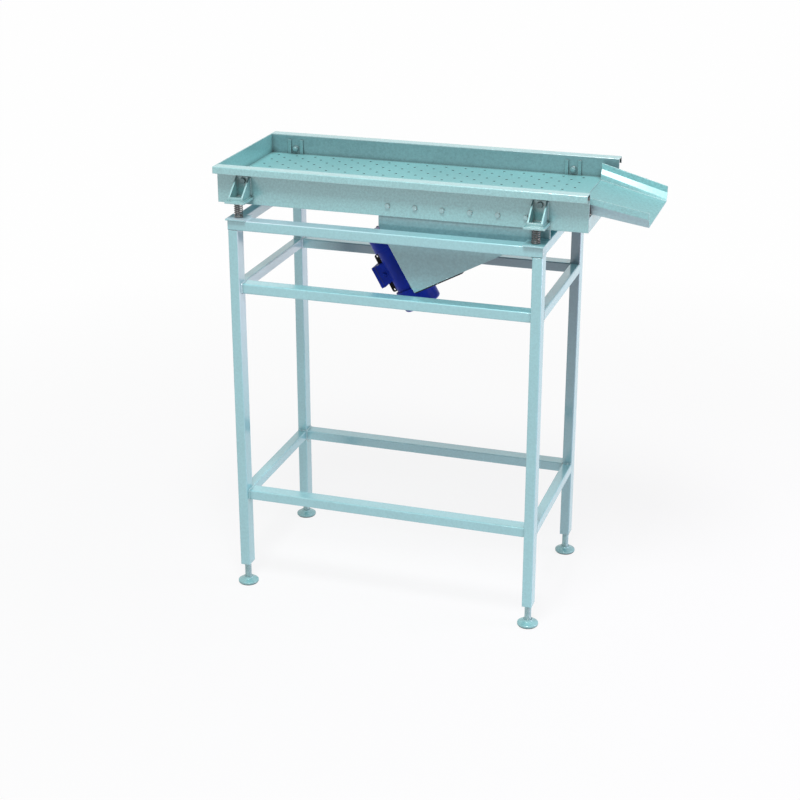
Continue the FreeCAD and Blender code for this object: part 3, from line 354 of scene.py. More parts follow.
WELD_CREASE = 70
LEG_SPANS = ((-757.5, -717.5, X), (480.5, 440.5, -X))
LEG_INSIDES = ((-310.0, Y), (310.0, -Y))
LEG_DEEP = 60.0
UPPER_RAIL, MIDDLE_RAIL, LOWER_RAIL = (1527.0, 1567.0), (1268.0, 1308.0), (385.0, 425.0)
FRONT_RAIL, REAR_RAIL = (-350.0, -290.0), (310.0, 370.0)
seams = bmesh.new()
for outer_x, inner_x, inward in LEG_SPANS:
    for low_z, top_z in (MIDDLE_RAIL, LOWER_RAIL):
        for near_y, far_y in (FRONT_RAIL, REAR_RAIL):
            weld_bead(seams, (inner_x, near_y, top_z), (inner_x, far_y, top_z), inward, Z)
            weld_bead(seams, (inner_x, near_y, low_z), (inner_x, far_y, low_z), inward, -Z)
        for seam_y, side in ((FRONT_RAIL[0], -Y), (FRONT_RAIL[1], Y), (REAR_RAIL[0], -Y)):
            weld_bead(seams, (inner_x, seam_y, low_z), (inner_x, seam_y, top_z), inward, side)
        for leg_y, side in LEG_INSIDES:
            weld_bead(seams, (outer_x, leg_y, top_z), (inner_x, leg_y, top_z), side, Z)
            weld_bead(seams, (outer_x, leg_y, low_z), (inner_x, leg_y, low_z), side, -Z)
    low_z, top_z = UPPER_RAIL
    for leg_y, side in LEG_INSIDES:
        weld_bead(seams, (inner_x, leg_y, low_z), (inner_x, leg_y - side.y * LEG_DEEP, low_z), inward, -Z)
        weld_bead(seams, (outer_x, leg_y, low_z), (inner_x, leg_y, low_z), side, -Z)
        weld_bead(seams, (inner_x, leg_y, low_z), (inner_x, leg_y, top_z), inward, side)
finish_piece("stand_welds", seams, [stand_paint], "stand", WELD_CREASE)

# Spring seats: square steel plates welded flat on the corners of the upper frame, painted with it.
# A bead runs under the overhang and along the edge that crosses the rail.
finish_nodes(stand_paint, "spring_seats")
SPRING_X, SPRING_Y = (-722.5, 445.5), (-340.0, 340.0)
SEAT_HALF, SEAT_UNDER, SEAT_BEAD = 40, UPPER_RAIL[1], 3.5
CROSS_HALF, RAIL_HALF = 28, 30
OUTER_START, INNER_START = -33, 9
seat_seams = bmesh.new()
for middle_x in SPRING_X:
    inner = X if middle_x < 0 else -X
    for middle_y in SPRING_Y:
        edge_x = middle_x + SEAT_HALF * inner.x
        weld_bead(seat_seams, (edge_x, middle_y - CROSS_HALF, SEAT_UNDER),
                  (edge_x, middle_y + CROSS_HALF, SEAT_UNDER), inner, Z, SEAT_BEAD)
        for side in (-Y, Y):
            rail_y = middle_y + RAIL_HALF * side.y
            start_x = middle_x + inner.x * (OUTER_START if abs(rail_y) > abs(middle_y) else INNER_START)
            weld_bead(seat_seams, (start_x, rail_y, SEAT_UNDER), (edge_x, rail_y, SEAT_UNDER),
                      side, -Z, SEAT_BEAD)
finish_piece("seat_welds", seat_seams, [stand_paint], "stand", WELD_CREASE)

# Levelling feet: a turned steel pad on a threaded stem that screws into the plug in the leg's end.
# They are painted with the stand and stand on a thin black rubber disc.
foot_paint = enamel("foot_paint", (0.27, 0.57, 0.59), THIN_TURQUOISE, grain=0.06, lacquer=0.6)
rubber, rubber_tree, rubber_shader = new_material("foot_rubber")
rubber_grain = noise(rubber_tree, place_on(rubber_tree), 260.0, 3.0)
set_inputs(rubber_tree, rubber_shader, {
    "Base Color": mixed(rubber_tree, rubber_grain, (0.012, 0.012, 0.013), (0.045, 0.044, 0.042)),
    "Normal": bumpy(rubber_tree, rubber_grain, 0.3, 0.0004), "Roughness": 0.7})


def turned(shape, profile, place, steps):
    """Turns a closed profile of (radius, height) pairs about the local Z of a place."""
    rings = []
    for radius, height in profile:
        turns = [2 * math.pi * step / steps for step in range(steps if radius else 1)]
        rings.append([shape.verts.new(place @ Vector((radius * math.cos(turn), radius * math.sin(turn), height)))
                      for turn in turns])
    for low, high in zip(rings, rings[1:] + rings[:1]):
        if len(low) == 1 and len(high) == 1:
            continue
        for step in range(steps):
            after = (step + 1) % steps
            if len(low) == 1:
                corners = (low[0], high[after], high[step])
            elif len(high) == 1:
                corners = (low[step], low[after], high[0])
            else:
                corners = (low[step], low[after], high[after], high[step])
            shape.faces.new(corners)


def screw_thread(shape, centre, low, high, crest, root, pitch):
    """Screw thread as a skin whose radius rises and falls along a helix; the ends run out to the root."""
    steps = 28
    rows = int((high - low) / pitch * 6)
    rings = []
    for row in range(rows + 1):
        height = low + (high - low) * row / rows
        run_out = min(1.0, (height - low) / pitch, (high - height) / pitch)
        ring = []
        for step in range(steps):
            phase = (height / pitch - step / steps) % 1.0
            tooth = min(1.0, 2.6 * min(phase, 1 - phase))
            radius = root + (crest - root) * tooth * run_out
            turn = 2 * math.pi * step / steps
            point = Vector((radius * math.cos(turn), radius * math.sin(turn), height))
            ring.append(shape.verts.new(centre + point))
        rings.append(ring)
    cover(shape, rings)


FOOT_PROFILE = ((0, 3), (40.4, 3), (41.6, 3.7), (42, 5), (42, 10.4), (41.5, 11.8), (40, 12.9), (37, 14),
                (25, 20.2), (22, 21.6), (20.6, 22.8), (20, 24.2), (20, 25.8), (19.2, 27), (13.2, 27),
                (12.4, 28.5), (0, 28.5))
DISC_PROFILE = ((0, 0), (38.5, 0), (39.5, 1), (39.5, 3.2), (0, 3.2))
STEM_LOW, STEM_HIGH, CREST_R, ROOT_R, PITCH = 27, 155, 13.4, 12.4, 3.0
FOOT_CREASE = 35
LEG_X = {"left": -737.5, "right": 460.5}
LEG_Y = {"front": -340.0, "rear": 340.0}
for row, leg_y in LEG_Y.items():
    for hand, leg_x in LEG_X.items():
        corner = f"{row}_{hand}"
        centre = Vector((leg_x, leg_y, 0))
        foot_shape = bmesh.new()
        turned(foot_shape, FOOT_PROFILE, Matrix.Translation(centre), 64)
        screw_thread(foot_shape, centre, STEM_LOW, STEM_HIGH, CREST_R, ROOT_R, PITCH)
        foot = finish_piece(f"foot_{corner}_turned", foot_shape, [foot_paint], f"foot_{corner}",
                            FOOT_CREASE)
        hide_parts(f"levelling_foot_{corner}")
        disc_shape = bmesh.new()
        turned(disc_shape, DISC_PROFILE, Matrix.Translation(centre), 64)
        finish_piece(f"foot_{corner}_rubber", disc_shape, [rubber], f"foot_{corner}", FOOT_CREASE)

# Coil springs: cold-wound spring wire with closed, ground ends, dipped in black coating that has rubbed
# off the outside of the coils. Each stands on its seat and carries one corner of the tray.


def coated_metal(name, tint, bare, rough, metal, scale=180.0, wear=0.6):
    """Dark coating over metal, mottled, with the metal showing where it has rubbed."""
    material, tree, shader = new_material(name)
    mottle = noise(tree, place_on(tree), scale, 5.0, 0.65)
    rub = graded(tree, add_node(tree, "ShaderNodeNewGeometry").outputs["Pointiness"], 0.52, 0.6)
    patch = graded(tree, mottle, 0.5, 0.72, 0.0, wear)
    bared = work_out(tree, "MULTIPLY", work_out(tree, "MAXIMUM", patch, rub), mottle)
    set_inputs(tree, shader, {
        "Base Color": mixed(tree, bared, tint, bare),
        "Roughness": graded(tree, mottle, 0.3, 0.7, rough - 0.08, rough + 0.12),
        "Normal": bumpy(tree, mottle, 0.2, 0.0004, rounded_edges(tree, 0.0012)), "Metallic": metal})
    return material


spring_coat = coated_metal("spring_coat", (0.12, 0.108, 0.105), (0.55, 0.52, 0.50), 0.26, 0.6)
SPRING_LOW, SPRING_HIGH = 1573.0, 1633.0
WIRE_R, COIL_R, COIL_TURNS, CLOSED_TURNS = 2.0, 15.4, 8.0, 1.0
GROUND_OFF = 0.4
TURN_STEPS, WIRE_STEPS = 28, 10
SPRING_CREASE = 60
rise = SPRING_HIGH - SPRING_LOW - 2 * WIRE_R
closed_rise = 2 * WIRE_R * CLOSED_TURNS
open_pitch = (rise - 2 * closed_rise) / (COIL_TURNS - 2 * CLOSED_TURNS)
coil_steps = int(COIL_TURNS * TURN_STEPS)
springs_shape = bmesh.new()
for middle_x in SPRING_X:
    for middle_y in SPRING_Y:
        coil = []
        for step in range(coil_steps + 1):
            turns = COIL_TURNS * step / coil_steps
            if turns < CLOSED_TURNS:
                height = closed_rise * turns / CLOSED_TURNS
            elif turns > COIL_TURNS - CLOSED_TURNS:
                height = rise - closed_rise * (COIL_TURNS - turns) / CLOSED_TURNS
            else:
                height = closed_rise + open_pitch * (turns - CLOSED_TURNS)
            turn = 2 * math.pi * turns
            outward = Vector((math.cos(turn), math.sin(turn), 0))
            at = Vector((middle_x, middle_y, SPRING_LOW + WIRE_R + height)) + outward * COIL_R
            ring = []
            for part in range(WIRE_STEPS):
                around = 2 * math.pi * part / WIRE_STEPS
                point = at + (outward * math.cos(around) + Z * math.sin(around)) * WIRE_R
                point.z = min(max(point.z, SPRING_LOW + GROUND_OFF), SPRING_HIGH - GROUND_OFF)
                ring.append(springs_shape.verts.new(point))
            coil.append(ring)
        cover(springs_shape, coil)
springs = finish_piece("wound_springs", springs_shape, [spring_coat], None, SPRING_CREASE)
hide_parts("coil_springs")
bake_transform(springs)

# Tray walls: 4 mm sheet folded outward and down along the top, closed by a plain end wall, all welded.
# They are sprayed like the stand, with a painted shade, darker, on their inner faces and a near-black painted
# shade within the fold.
# Stitch welds under the deck hold it between them.
tray_paint = enamel("tray_paint", TURQUOISE, THIN_TURQUOISE, grain=0.11)
finish_nodes(tray_paint, "side_wall_front", "side_wall_rear", "end_wall", "outlet_end_plate", "deck_bearers")
INNER_FACE, INNER_DEEP = 0.2775, 0.0006
FOLD_Y, FOLD_HALF_WIDE = 0.3015, 0.0209
FOLD_Z, FOLD_HALF_HIGH = 1.74315, 0.01215
INNER_SHADE_TINT, FOLD_SHADE = (0.57, 0.51, 0.53), (0.010, 0.016, 0.017)
walls, wall_shader, wall_coat = opened(tray_paint)
wall_spot = axes_of(walls, place_on(walls))
apart = work_out(walls, "ABSOLUTE", wall_spot["Y"])
inside = work_out(walls, "COMPARE", apart, INNER_FACE, INNER_DEEP)
in_fold = overlap(walls, work_out(walls, "COMPARE", apart, FOLD_Y, FOLD_HALF_WIDE),
                  work_out(walls, "COMPARE", wall_spot["Z"], FOLD_Z, FOLD_HALF_HIGH))
# Painted shade: the inner faces darker, and the inside of the fold near black.
inner_shaded_coat = filtered(walls, inside, wall_coat, INNER_SHADE_TINT)
set_inputs(walls, wall_shader, {"Base Color": mixed(walls, in_fold, inner_shaded_coat, FOLD_SHADE), "Coat Roughness": 0.2})
DECK_TOP, DECK_UNDER = 1682.0, 1678.0
DECK_LEFT, DECK_RIGHT = -827.5, 564.5
WALL_IN, WALL_OUT, WALL_FOOT = 277.0, 281.0, 1610.0
SIDE_FIRST, SIDE_PITCH, SIDE_STITCH = DECK_LEFT + 20, 178, 55
END_FIRST, END_PITCH, END_STITCH = -250, 150, 50
CORNER_CLEAR, STITCH_BEAD = 4, 3.5
tray_seams = bmesh.new()
for wall_y, inward in ((-WALL_IN, Y), (WALL_IN, -Y)):
    for stitch in range(8):
        from_x = SIDE_FIRST + stitch * SIDE_PITCH
        weld_bead(tray_seams, (from_x, wall_y, DECK_UNDER), (from_x + SIDE_STITCH, wall_y, DECK_UNDER),
                  inward, -Z, STITCH_BEAD)
    weld_bead(tray_seams, (DECK_LEFT, wall_y, WALL_FOOT + CORNER_CLEAR),
              (DECK_LEFT, wall_y, DECK_UNDER - CORNER_CLEAR), X, inward, STITCH_BEAD)
for stitch in range(4):
    from_y = END_FIRST + stitch * END_PITCH
    weld_bead(tray_seams, (DECK_LEFT, from_y, DECK_UNDER), (DECK_LEFT, from_y + END_STITCH, DECK_UNDER),
              X, -Z, STITCH_BEAD)
finish_piece("tray_welds", tray_seams, [tray_paint], "tray", WELD_CREASE)

# Deck: a 4 mm plate punched with two interleaved grids of holes, sprayed a little greener than the walls.
# The punched holes have a small rolled rim, and their walls are painted dark as shade.
deck_paint = enamel("deck_paint", (0.265, 0.59, 0.61), (0.6, 0.86, 0.87), grain=0.06, lacquer=0.25)
# Painted shade: near-black walls in the punched holes.
hole_shade = coated_metal("hole_shade", (0.012, 0.03, 0.032), (0.05, 0.09, 0.09), 0.8, 0.0, 500.0, 0.4)
CELL = 40.0
HALF, PART = CELL / 2, CELL / 2 * math.tan(math.radians(22.5))
CELL_EDGE = ((HALF, 0), (HALF, PART), (HALF, HALF), (PART, HALF), (0, HALF), (-PART, HALF), (-HALF, HALF),
             (-HALF, PART), (-HALF, 0), (-HALF, -PART), (-HALF, -HALF), (-PART, -HALF), (0, -HALF), (PART, -HALF),
             (HALF, -HALF), (HALF, -PART))
HOLE_STEPS = len(CELL_EDGE)
HOLE_R, RIM_R, RIM_DEPTH = 4.4, 5.0, 0.5
FIRST_HOLE_X, FIRST_HOLE_Y = DECK_LEFT + 43, -240.0
COLUMNS, ROWS = 33, 13
deck_shape = bmesh.new()
corner_verts = {}


def deck_vert(x, y, z):
    """The deck's point at a place, shared by all the faces that meet there."""
    key = (round(x, 3), round(y, 3), round(z, 3))
    if key not in corner_verts:
        corner_verts[key] = deck_shape.verts.new((x, y, z))
    return corner_verts[key]


for column in range(COLUMNS):
    for line in range(ROWS):
        middle_x, middle_y = FIRST_HOLE_X + CELL * column, FIRST_HOLE_Y + CELL * line
        top, under = ([deck_vert(middle_x + x, middle_y + y, level) for x, y in CELL_EDGE]
                      for level in (DECK_TOP, DECK_UNDER))
        if (column + line) % 2:
            deck_shape.faces.new(top)
            deck_shape.faces.new(reversed(under))
            continue
        rings = [top]
        for radius, height in ((RIM_R, DECK_TOP), (HOLE_R, DECK_TOP - RIM_DEPTH), (HOLE_R, DECK_UNDER)):
            turns = [2 * math.pi * step / HOLE_STEPS for step in range(HOLE_STEPS)]
            rings.append([deck_shape.verts.new((middle_x + radius * math.cos(turn),
                                                middle_y + radius * math.sin(turn), height)) for turn in turns])
        rings.append(under)
        for level, (outer, inner_ring) in enumerate(zip(rings, rings[1:])):
            for step in range(HOLE_STEPS):
                after = (step + 1) % HOLE_STEPS
                face = deck_shape.faces.new((outer[step], outer[after], inner_ring[after], inner_ring[step]))
                face.material_index = 1 if level in (1, 2) else 0
grid_x = [FIRST_HOLE_X - HALF + CELL * column for column in range(COLUMNS + 1)]
grid_y = [FIRST_HOLE_Y - HALF + CELL * line for line in range(ROWS + 1)]
EDGE_STEPS = (0, HALF - PART, HALF, HALF + PART, CELL)
points_x, points_y = (sorted({low + step for low in grid[:-1] for step in EDGE_STEPS})
                      for grid in (grid_x, grid_y))
for level in (DECK_TOP, DECK_UNDER):
    for inner_y, outer_y in ((grid_y[0], -WALL_IN), (grid_y[-1], WALL_IN)):
        strip = [deck_vert(x, inner_y, level) for x in points_x]
        outline = [deck_vert(points_x[-1], outer_y, level), deck_vert(points_x[0], outer_y, level)]
        deck_shape.faces.new(strip + outline)
    for inner_x, outer_x in ((grid_x[0], DECK_LEFT), (grid_x[-1], DECK_RIGHT)):
        strip = [deck_vert(inner_x, y, level) for y in [-WALL_IN] + points_y + [WALL_IN]]
        outline = [deck_vert(outer_x, WALL_IN, level), deck_vert(outer_x, -WALL_IN, level)]
        deck_shape.faces.new(strip + outline)
for wall_y in (-WALL_IN, WALL_IN):
    for from_x, to_x in ((DECK_LEFT, points_x[0]), (points_x[0], points_x[-1]), (points_x[-1], DECK_RIGHT)):
        deck_shape.faces.new((deck_vert(from_x, wall_y, DECK_TOP), deck_vert(to_x, wall_y, DECK_TOP),
                              deck_vert(to_x, wall_y, DECK_UNDER), deck_vert(from_x, wall_y, DECK_UNDER)))
for end_x in (DECK_LEFT, DECK_RIGHT):
    deck_shape.faces.new((deck_vert(end_x, -WALL_IN, DECK_TOP), deck_vert(end_x, WALL_IN, DECK_TOP),
                          deck_vert(end_x, WALL_IN, DECK_UNDER), deck_vert(end_x, -WALL_IN, DECK_UNDER)))
deck = finish_piece("punched_deck", deck_shape, [deck_paint, hole_shade], "tray")
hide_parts("perforated_deck")

# Spring brackets: a seat plate on each spring, a back plate on the wall and two gussets, welded together.
# One hexagon bolt with a washer under its head holds each to the wall, and two strips inside stiffen the wall.
# Brackets are painted with the tray; bolts and strips are darker and duller, the darker colour being painted
# shade.
finish_nodes(tray_paint, *named("spring_bracket"))
# Painted shade: a darker, duller copy of the tray's enamel for the bracket bolts and strips.
shade_dark_paint = enamel("shade_dark_paint", (0.18, 0.35, 0.37), (0.42, 0.60, 0.62), rough=0.6, lacquer=0.5)
finish_nodes(shade_dark_paint, "bracket_strips")


def hex_prism(shape, place, across, low, high, chamfer_low, chamfer_high):
    """Hexagon with a corner on local X; a chamfered end is turned off to a cone, as on a bolt head or nut."""
    steps = 36
    turns = [2 * math.pi * step / steps for step in range(steps)]
    corner_r = [across / 2 / math.cos((turn % (math.pi / 3)) - math.pi / 6) for turn in turns]
    face_r = across / 2 * 0.95
    drops = [(radius - face_r) * math.tan(math.radians(30)) for radius in corner_r]

    def ring(radii, heights):
        """Points around the place, one for each turn."""
        return [shape.verts.new(place @ Vector((radius * math.cos(turn), radius * math.sin(turn), height)))
                for turn, radius, height in zip(turns, radii, heights)]

    if chamfer_low:
        rings = [ring([face_r] * steps, [low] * steps), ring(corner_r, [low + drop for drop in drops])]
    else:
        rings = [ring(corner_r, [low] * steps)]
    if chamfer_high:
        rings += [ring(corner_r, [high - drop for drop in drops]), ring([face_r] * steps, [high] * steps)]
    else:
        rings.append(ring(corner_r, [high] * steps))
    cover(shape, rings)


def bolt_and_nut(shape, place, dia, grip):
    """Bolt whose head stands on the local XY plane, washers under head and nut, and the thread's end."""
    across, head, nut, washer = 1.7 * dia, 0.65 * dia, 0.8 * dia, 0.14 * dia
    nut_seat, nut_end = -grip - washer, -grip - washer - nut
    hex_prism(shape, place, across, washer, head + washer, False, True)
    turned(shape, ((dia / 2, 0), (dia, 0), (dia, washer * 0.7), (dia * 0.96, washer), (dia / 2, washer)),
           place, 32)
    turned(shape, ((dia / 2, -grip), (dia, -grip), (dia, nut_seat), (dia / 2, nut_seat)), place, 32)
    hex_prism(shape, place, across, nut_end, nut_seat, True, True)
    tip = nut_end - 1.5
    turned(shape, ((0, tip), (dia * 0.42, tip), (dia * 0.49, nut_end), (dia * 0.49, 0), (0, 0)), place, 24)


FACE_FRONT = Matrix.Rotation(math.radians(90), 4, "X")
FACE_REAR = Matrix.Rotation(math.radians(-90), 4, "X")
BRACKET_BOLT, BRACKET_GRIP, BRACKET_BOLT_Z = 12, 10, 1704.0
BACK_FACE, GUSSET_OUT, GUSSET_BASE = 287, 29, 1641.0
GUSSET_FROM, GUSSET_TO = 284, 362
BACK_LOW, BACK_HIGH = 1646, 1718
SEAT_SEAM_Y, SEAT_SEAM_HALF = 366, 22
GUSSET_BEAD, EDGE_BEAD = 2.4, 2.0
bracket_bolt_shape = bmesh.new()
bracket_seams = bmesh.new()
for middle_x in SPRING_X:
    for outward, turn in ((-Y, FACE_FRONT), (Y, FACE_REAR)):
        far = outward.y
        seat_at = Matrix.Translation((middle_x, BACK_FACE * far, BRACKET_BOLT_Z))
        bolt_and_nut(bracket_bolt_shape, seat_at @ turn, BRACKET_BOLT, BRACKET_GRIP)
        for hand in (-X, X):
            side_x = middle_x + GUSSET_OUT * hand.x
            weld_bead(bracket_seams, (side_x, GUSSET_FROM * far, GUSSET_BASE),
                      (side_x, GUSSET_TO * far, GUSSET_BASE), hand, Z, GUSSET_BEAD)
            weld_bead(bracket_seams, (side_x, WALL_OUT * far, BACK_LOW), (side_x, WALL_OUT * far, BACK_HIGH),
                      hand, outward, GUSSET_BEAD)
        weld_bead(bracket_seams, (middle_x - SEAT_SEAM_HALF, SEAT_SEAM_Y * far, GUSSET_BASE),
                  (middle_x + SEAT_SEAM_HALF, SEAT_SEAM_Y * far, GUSSET_BASE), outward, Z, EDGE_BEAD)
bracket_bolts = finish_piece("bracket_bolt_set", bracket_bolt_shape, [shade_dark_paint], "tray")
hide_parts("bracket_bolts")
finish_piece("bracket_welds", bracket_seams, [tray_paint], "tray", WELD_CREASE)

# Motor console: two triangular cheek plates of cut steel, bolted inside the walls, with a slanted motor plate
# and two tie tubes welded between them. They carry a painted shade, a darker copy of the tray's enamel, with
# painted light towards the lower corner. The lower plate between the cheeks is painted dark as shade.
# Painted shade: a darker copy of the tray's enamel for the console.
shaded_console_paint = enamel("shaded_console_paint", (0.20, 0.385, 0.42), THIN_TURQUOISE, grain=0.1, lacquer=0.7)
finish_nodes(shaded_console_paint, "motor_cheek_front", "motor_cheek_rear", "cheek_ties", "motor_plate")
LOW_CORNER_Z, PLAIN_FROM_Z, CORNER_LIGHT = 1.33, 1.46, 1.4
cheeks, cheek_shader, cheek_coat = opened(shaded_console_paint)
# Painted light: lighter towards the lower corner, below the shade of the rail.
painted_corner_light = graded(cheeks, axes_of(cheeks, place_on(cheeks))["Z"], LOW_CORNER_Z, PLAIN_FROM_Z, CORNER_LIGHT, 1.0)
set_inputs(cheeks, cheek_shader, {"Base Color": toned(cheeks, cheek_coat, painted_corner_light)})
# Painted shade: the lower plate near black.
plate_shade = enamel("plate_shade", (0.02, 0.024, 0.034), (0.07, 0.08, 0.10), rough=0.6, lacquer=0.2, depth=1.5)
finish_nodes(plate_shade, "console_lower_plate")
bolt_paint = enamel("bolt_paint", (0.30, 0.54, 0.56), (0.85, 0.93, 0.93), rough=0.4)
CHEEK_BOLT, CHEEK_GRIP, CHEEK_BOLT_Z = 10, 12, 1650
CHEEK_BOLT_X = [-140.5 + 106.6 * index for index in range(6)]
cheek_bolt_shape = bmesh.new()
for bolt_x in CHEEK_BOLT_X:
    for wall_y, turn in ((-WALL_OUT, FACE_FRONT), (WALL_OUT, FACE_REAR)):
        bolt_at = Matrix.Translation((bolt_x, wall_y, CHEEK_BOLT_Z))
        bolt_and_nut(cheek_bolt_shape, bolt_at @ turn, CHEEK_BOLT, CHEEK_GRIP)
cheek_bolts = finish_piece("cheek_bolt_set", cheek_bolt_shape, [bolt_paint], "tray")
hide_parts("cheek_bolts")
SLANT = math.radians(29.5)
DOWN = Vector((math.sin(SLANT), 0, -math.cos(SLANT)))
THROW = Vector((math.cos(SLANT), 0, math.sin(SLANT)))
SHOULDER = Vector((-178.5, 0, 1568))


def on_motor(s, y, h):
    """Place by the slanted plate: s runs down its slope, y across and h out of it along the throw."""
    return SHOULDER + DOWN * s + Y * y + THROW * h


CHEEK_IN, PLATE_THICK = 269, 12
SEAM_START, BACK_SEAM_END, FRONT_SEAM_END, PLATE_BEAD = 20, 280, 270, 5
console_seams = bmesh.new()
for cheek_y, inward in ((-CHEEK_IN, Y), (CHEEK_IN, -Y)):
    weld_bead(console_seams, on_motor(SEAM_START, cheek_y, 0), on_motor(BACK_SEAM_END, cheek_y, 0),
              -THROW, inward, PLATE_BEAD)
    weld_bead(console_seams, on_motor(SEAM_START, cheek_y, PLATE_THICK),
              on_motor(FRONT_SEAM_END, cheek_y, PLATE_THICK), THROW, inward, PLATE_BEAD)
finish_piece("console_welds", console_seams, [shaded_console_paint], "tray", WELD_CREASE)

# Discharge chute: 3 mm sheet folded to a kneed trough that drops and narrows, welded to the deck's end.
# Sprayed with the tray: the floor is rubbed matt by the goods, and the lower folds carry a painted reflection of
# the floor, silvery, outside.
chute_paint = enamel("chute_paint", TURQUOISE, THIN_TURQUOISE, rough=0.46)
SIDE_TILT, FLOOR_TILT, UNDER_TILT = 0.75, 0.92, -0.1
FLOOR_REFLECTION, FLOOR_REFLECTION_SHARE = (0.62, 0.67, 0.75), 0.4
chute, chute_shader, chute_coat = opened(chute_paint)
upward = axes_of(chute, face_way(chute))["Z"]
rubbed_coat = toned(chute, chute_coat, graded(chute, upward, SIDE_TILT, FLOOR_TILT, 1.0, 0.85))
# Painted reflection: downward faces mixed towards silver, as the floor reflected in them.
painted_reflection = work_out(chute, "MULTIPLY", work_out(chute, "LESS_THAN", upward, UNDER_TILT), FLOOR_REFLECTION_SHARE)
set_inputs(chute, chute_shader, {"Base Color": mixed(chute, painted_reflection, rubbed_coat, FLOOR_REFLECTION),
                                 "Coat Weight": graded(chute, upward, SIDE_TILT, FLOOR_TILT, 0.5, 0.1),
                                 "Coat Roughness": 0.3})
finish_nodes(chute_paint, "discharge_chute")
INLET_HALF, CHUTE_BEAD = 229, 2.0
chute_seam = bmesh.new()
weld_bead(chute_seam, (DECK_RIGHT, -INLET_HALF, DECK_TOP), (DECK_RIGHT, INLET_HALF, DECK_TOP), X, Z, CHUTE_BEAD)
finish_piece("chute_weld", chute_seam, [chute_paint], "tray", WELD_CREASE)

# Corner seals: ribbed plugs of black rubber, pressed in behind the end plate between the chute's sides and
# the walls, dark pieces put where there is shade in the gap, closing it. They hold by their own squeeze.
SEAL_OUTLINE = ((276.7, 1655), (232.5, 1655), (232.5, 1691), (239.5, 1702), (276.7, 1702))
SEAL_Y, SEAL_Z = 256.0, 1678.0
SEAL_RIBS = ((606, 0.95), (607, 1.0), (610, 1.0), (611, 0.95), (613, 0.95), (614, 1.0), (617, 1.0), (618, 0.95),
             (619, 0.95), (619.6, 1.0), (621.4, 1.0), (622, 0.95))
# Painted shade: black plugs that stand for the shade in the gap between chute and walls.
seal_shape = bmesh.new()
for side in (-1, 1):
    ribs = []
    for at_x, swell in SEAL_RIBS:
        ribs.append([seal_shape.verts.new((at_x, side * (SEAL_Y + (y - SEAL_Y) * swell),
                                           SEAL_Z + (z - SEAL_Z) * swell)) for y, z in SEAL_OUTLINE])
    cover(seal_shape, ribs)
finish_piece("shade_gap_seals", seal_shape, [rubber], "tray")

# Unbalance motor: cast iron barrel on two feet with a terminal box cast to match, a pressed cover over the
# weights at each end, all in deep blue gloss enamel. It is bolted to the slanted plate.
MOTOR_BLUE, THIN_BLUE = (0.005, 0.027, 0.35), (0.03, 0.09, 0.50)


def cast_enamel(name, tint, edge_tint, pits=90.0, rough=0.38):
    """Brushed gloss enamel on cast iron: pitted skin, uneven tone and gloss, thin on edges."""
    material, tree, shader = new_material(name)
    place = place_on(tree)
    patch = noise(tree, place, 14.0, 4.0)
    rounded = rounded_edges(tree, 0.002)
    coat = toned(tree, tint, graded(tree, patch, 0.3, 0.7, 0.75, 1.3))
    set_inputs(tree, shader, {
        "Base Color": mixed(tree, edge_share(tree, rounded, 0.5), coat, edge_tint),
        "Roughness": graded(tree, patch, 0.3, 0.7, rough - 0.08, rough + 0.1),
        "Normal": bumpy(tree, noise(tree, place, pits, 5.0, 0.6), 0.25, 0.0012, rounded),
        "Specular IOR Level": 0.12})
    return material


motor_paint = cast_enamel("motor_paint", MOTOR_BLUE, THIN_BLUE)
cover_paint = cast_enamel("cover_paint", MOTOR_BLUE, THIN_BLUE, pits=300.0, rough=0.32)
finish_nodes(motor_paint, "motor_housing", "bearing_flange_upper", "bearing_flange_lower", "terminal_box",
             "terminal_box_lid")
finish_nodes(cover_paint, "end_cover_upper", "end_cover_lower")
STATION, AXIS_H = 207.5, -107.5
COVER_TOP, COVER_FOOT, COVER_SCREW_R = 30.5, 384.5, 52
LID_FACE, LID_SCREW_IN = -218.5, 9
BOX_TOP, BOX_FOOT, BOX_HALF = 162.0, 253.0, 40.0
SCREW_PROFILE = ((0, 1.4), (1.9, 1.4), (2.1, 3.4), (3.4, 3.6), (4.4, 2.8), (4.6, 1.5), (4.6, -0.3), (0, -0.3))


def facing_place(at, axis, level):
    """Place whose local Z is the axis and whose local X is the level direction."""
    return Matrix.Translation(at) @ Matrix((level, axis.cross(level), axis)).transposed().to_4x4()


motor_screw_shape = bmesh.new()
for s in (BOX_TOP + LID_SCREW_IN, BOX_FOOT - LID_SCREW_IN):
    for y in (-BOX_HALF + LID_SCREW_IN, BOX_HALF - LID_SCREW_IN):
        turned(motor_screw_shape, SCREW_PROFILE, facing_place(on_motor(s, y, LID_FACE), -THROW, DOWN), 24)
for end_s, axis in ((COVER_TOP, -DOWN), (COVER_FOOT, DOWN)):
    for quarter in range(4):
        turn = math.radians(45 + 90 * quarter)
        at = on_motor(end_s, COVER_SCREW_R * math.cos(turn), AXIS_H + COVER_SCREW_R * math.sin(turn))
        turned(motor_screw_shape, SCREW_PROFILE, facing_place(at, axis, Y), 24)
zinc = coated_metal("zinc", (0.42, 0.42, 0.40), (0.62, 0.61, 0.57), 0.38, 1.0, 60.0, 0.8)
finish_piece("motor_screws", motor_screw_shape, [zinc], "tray")

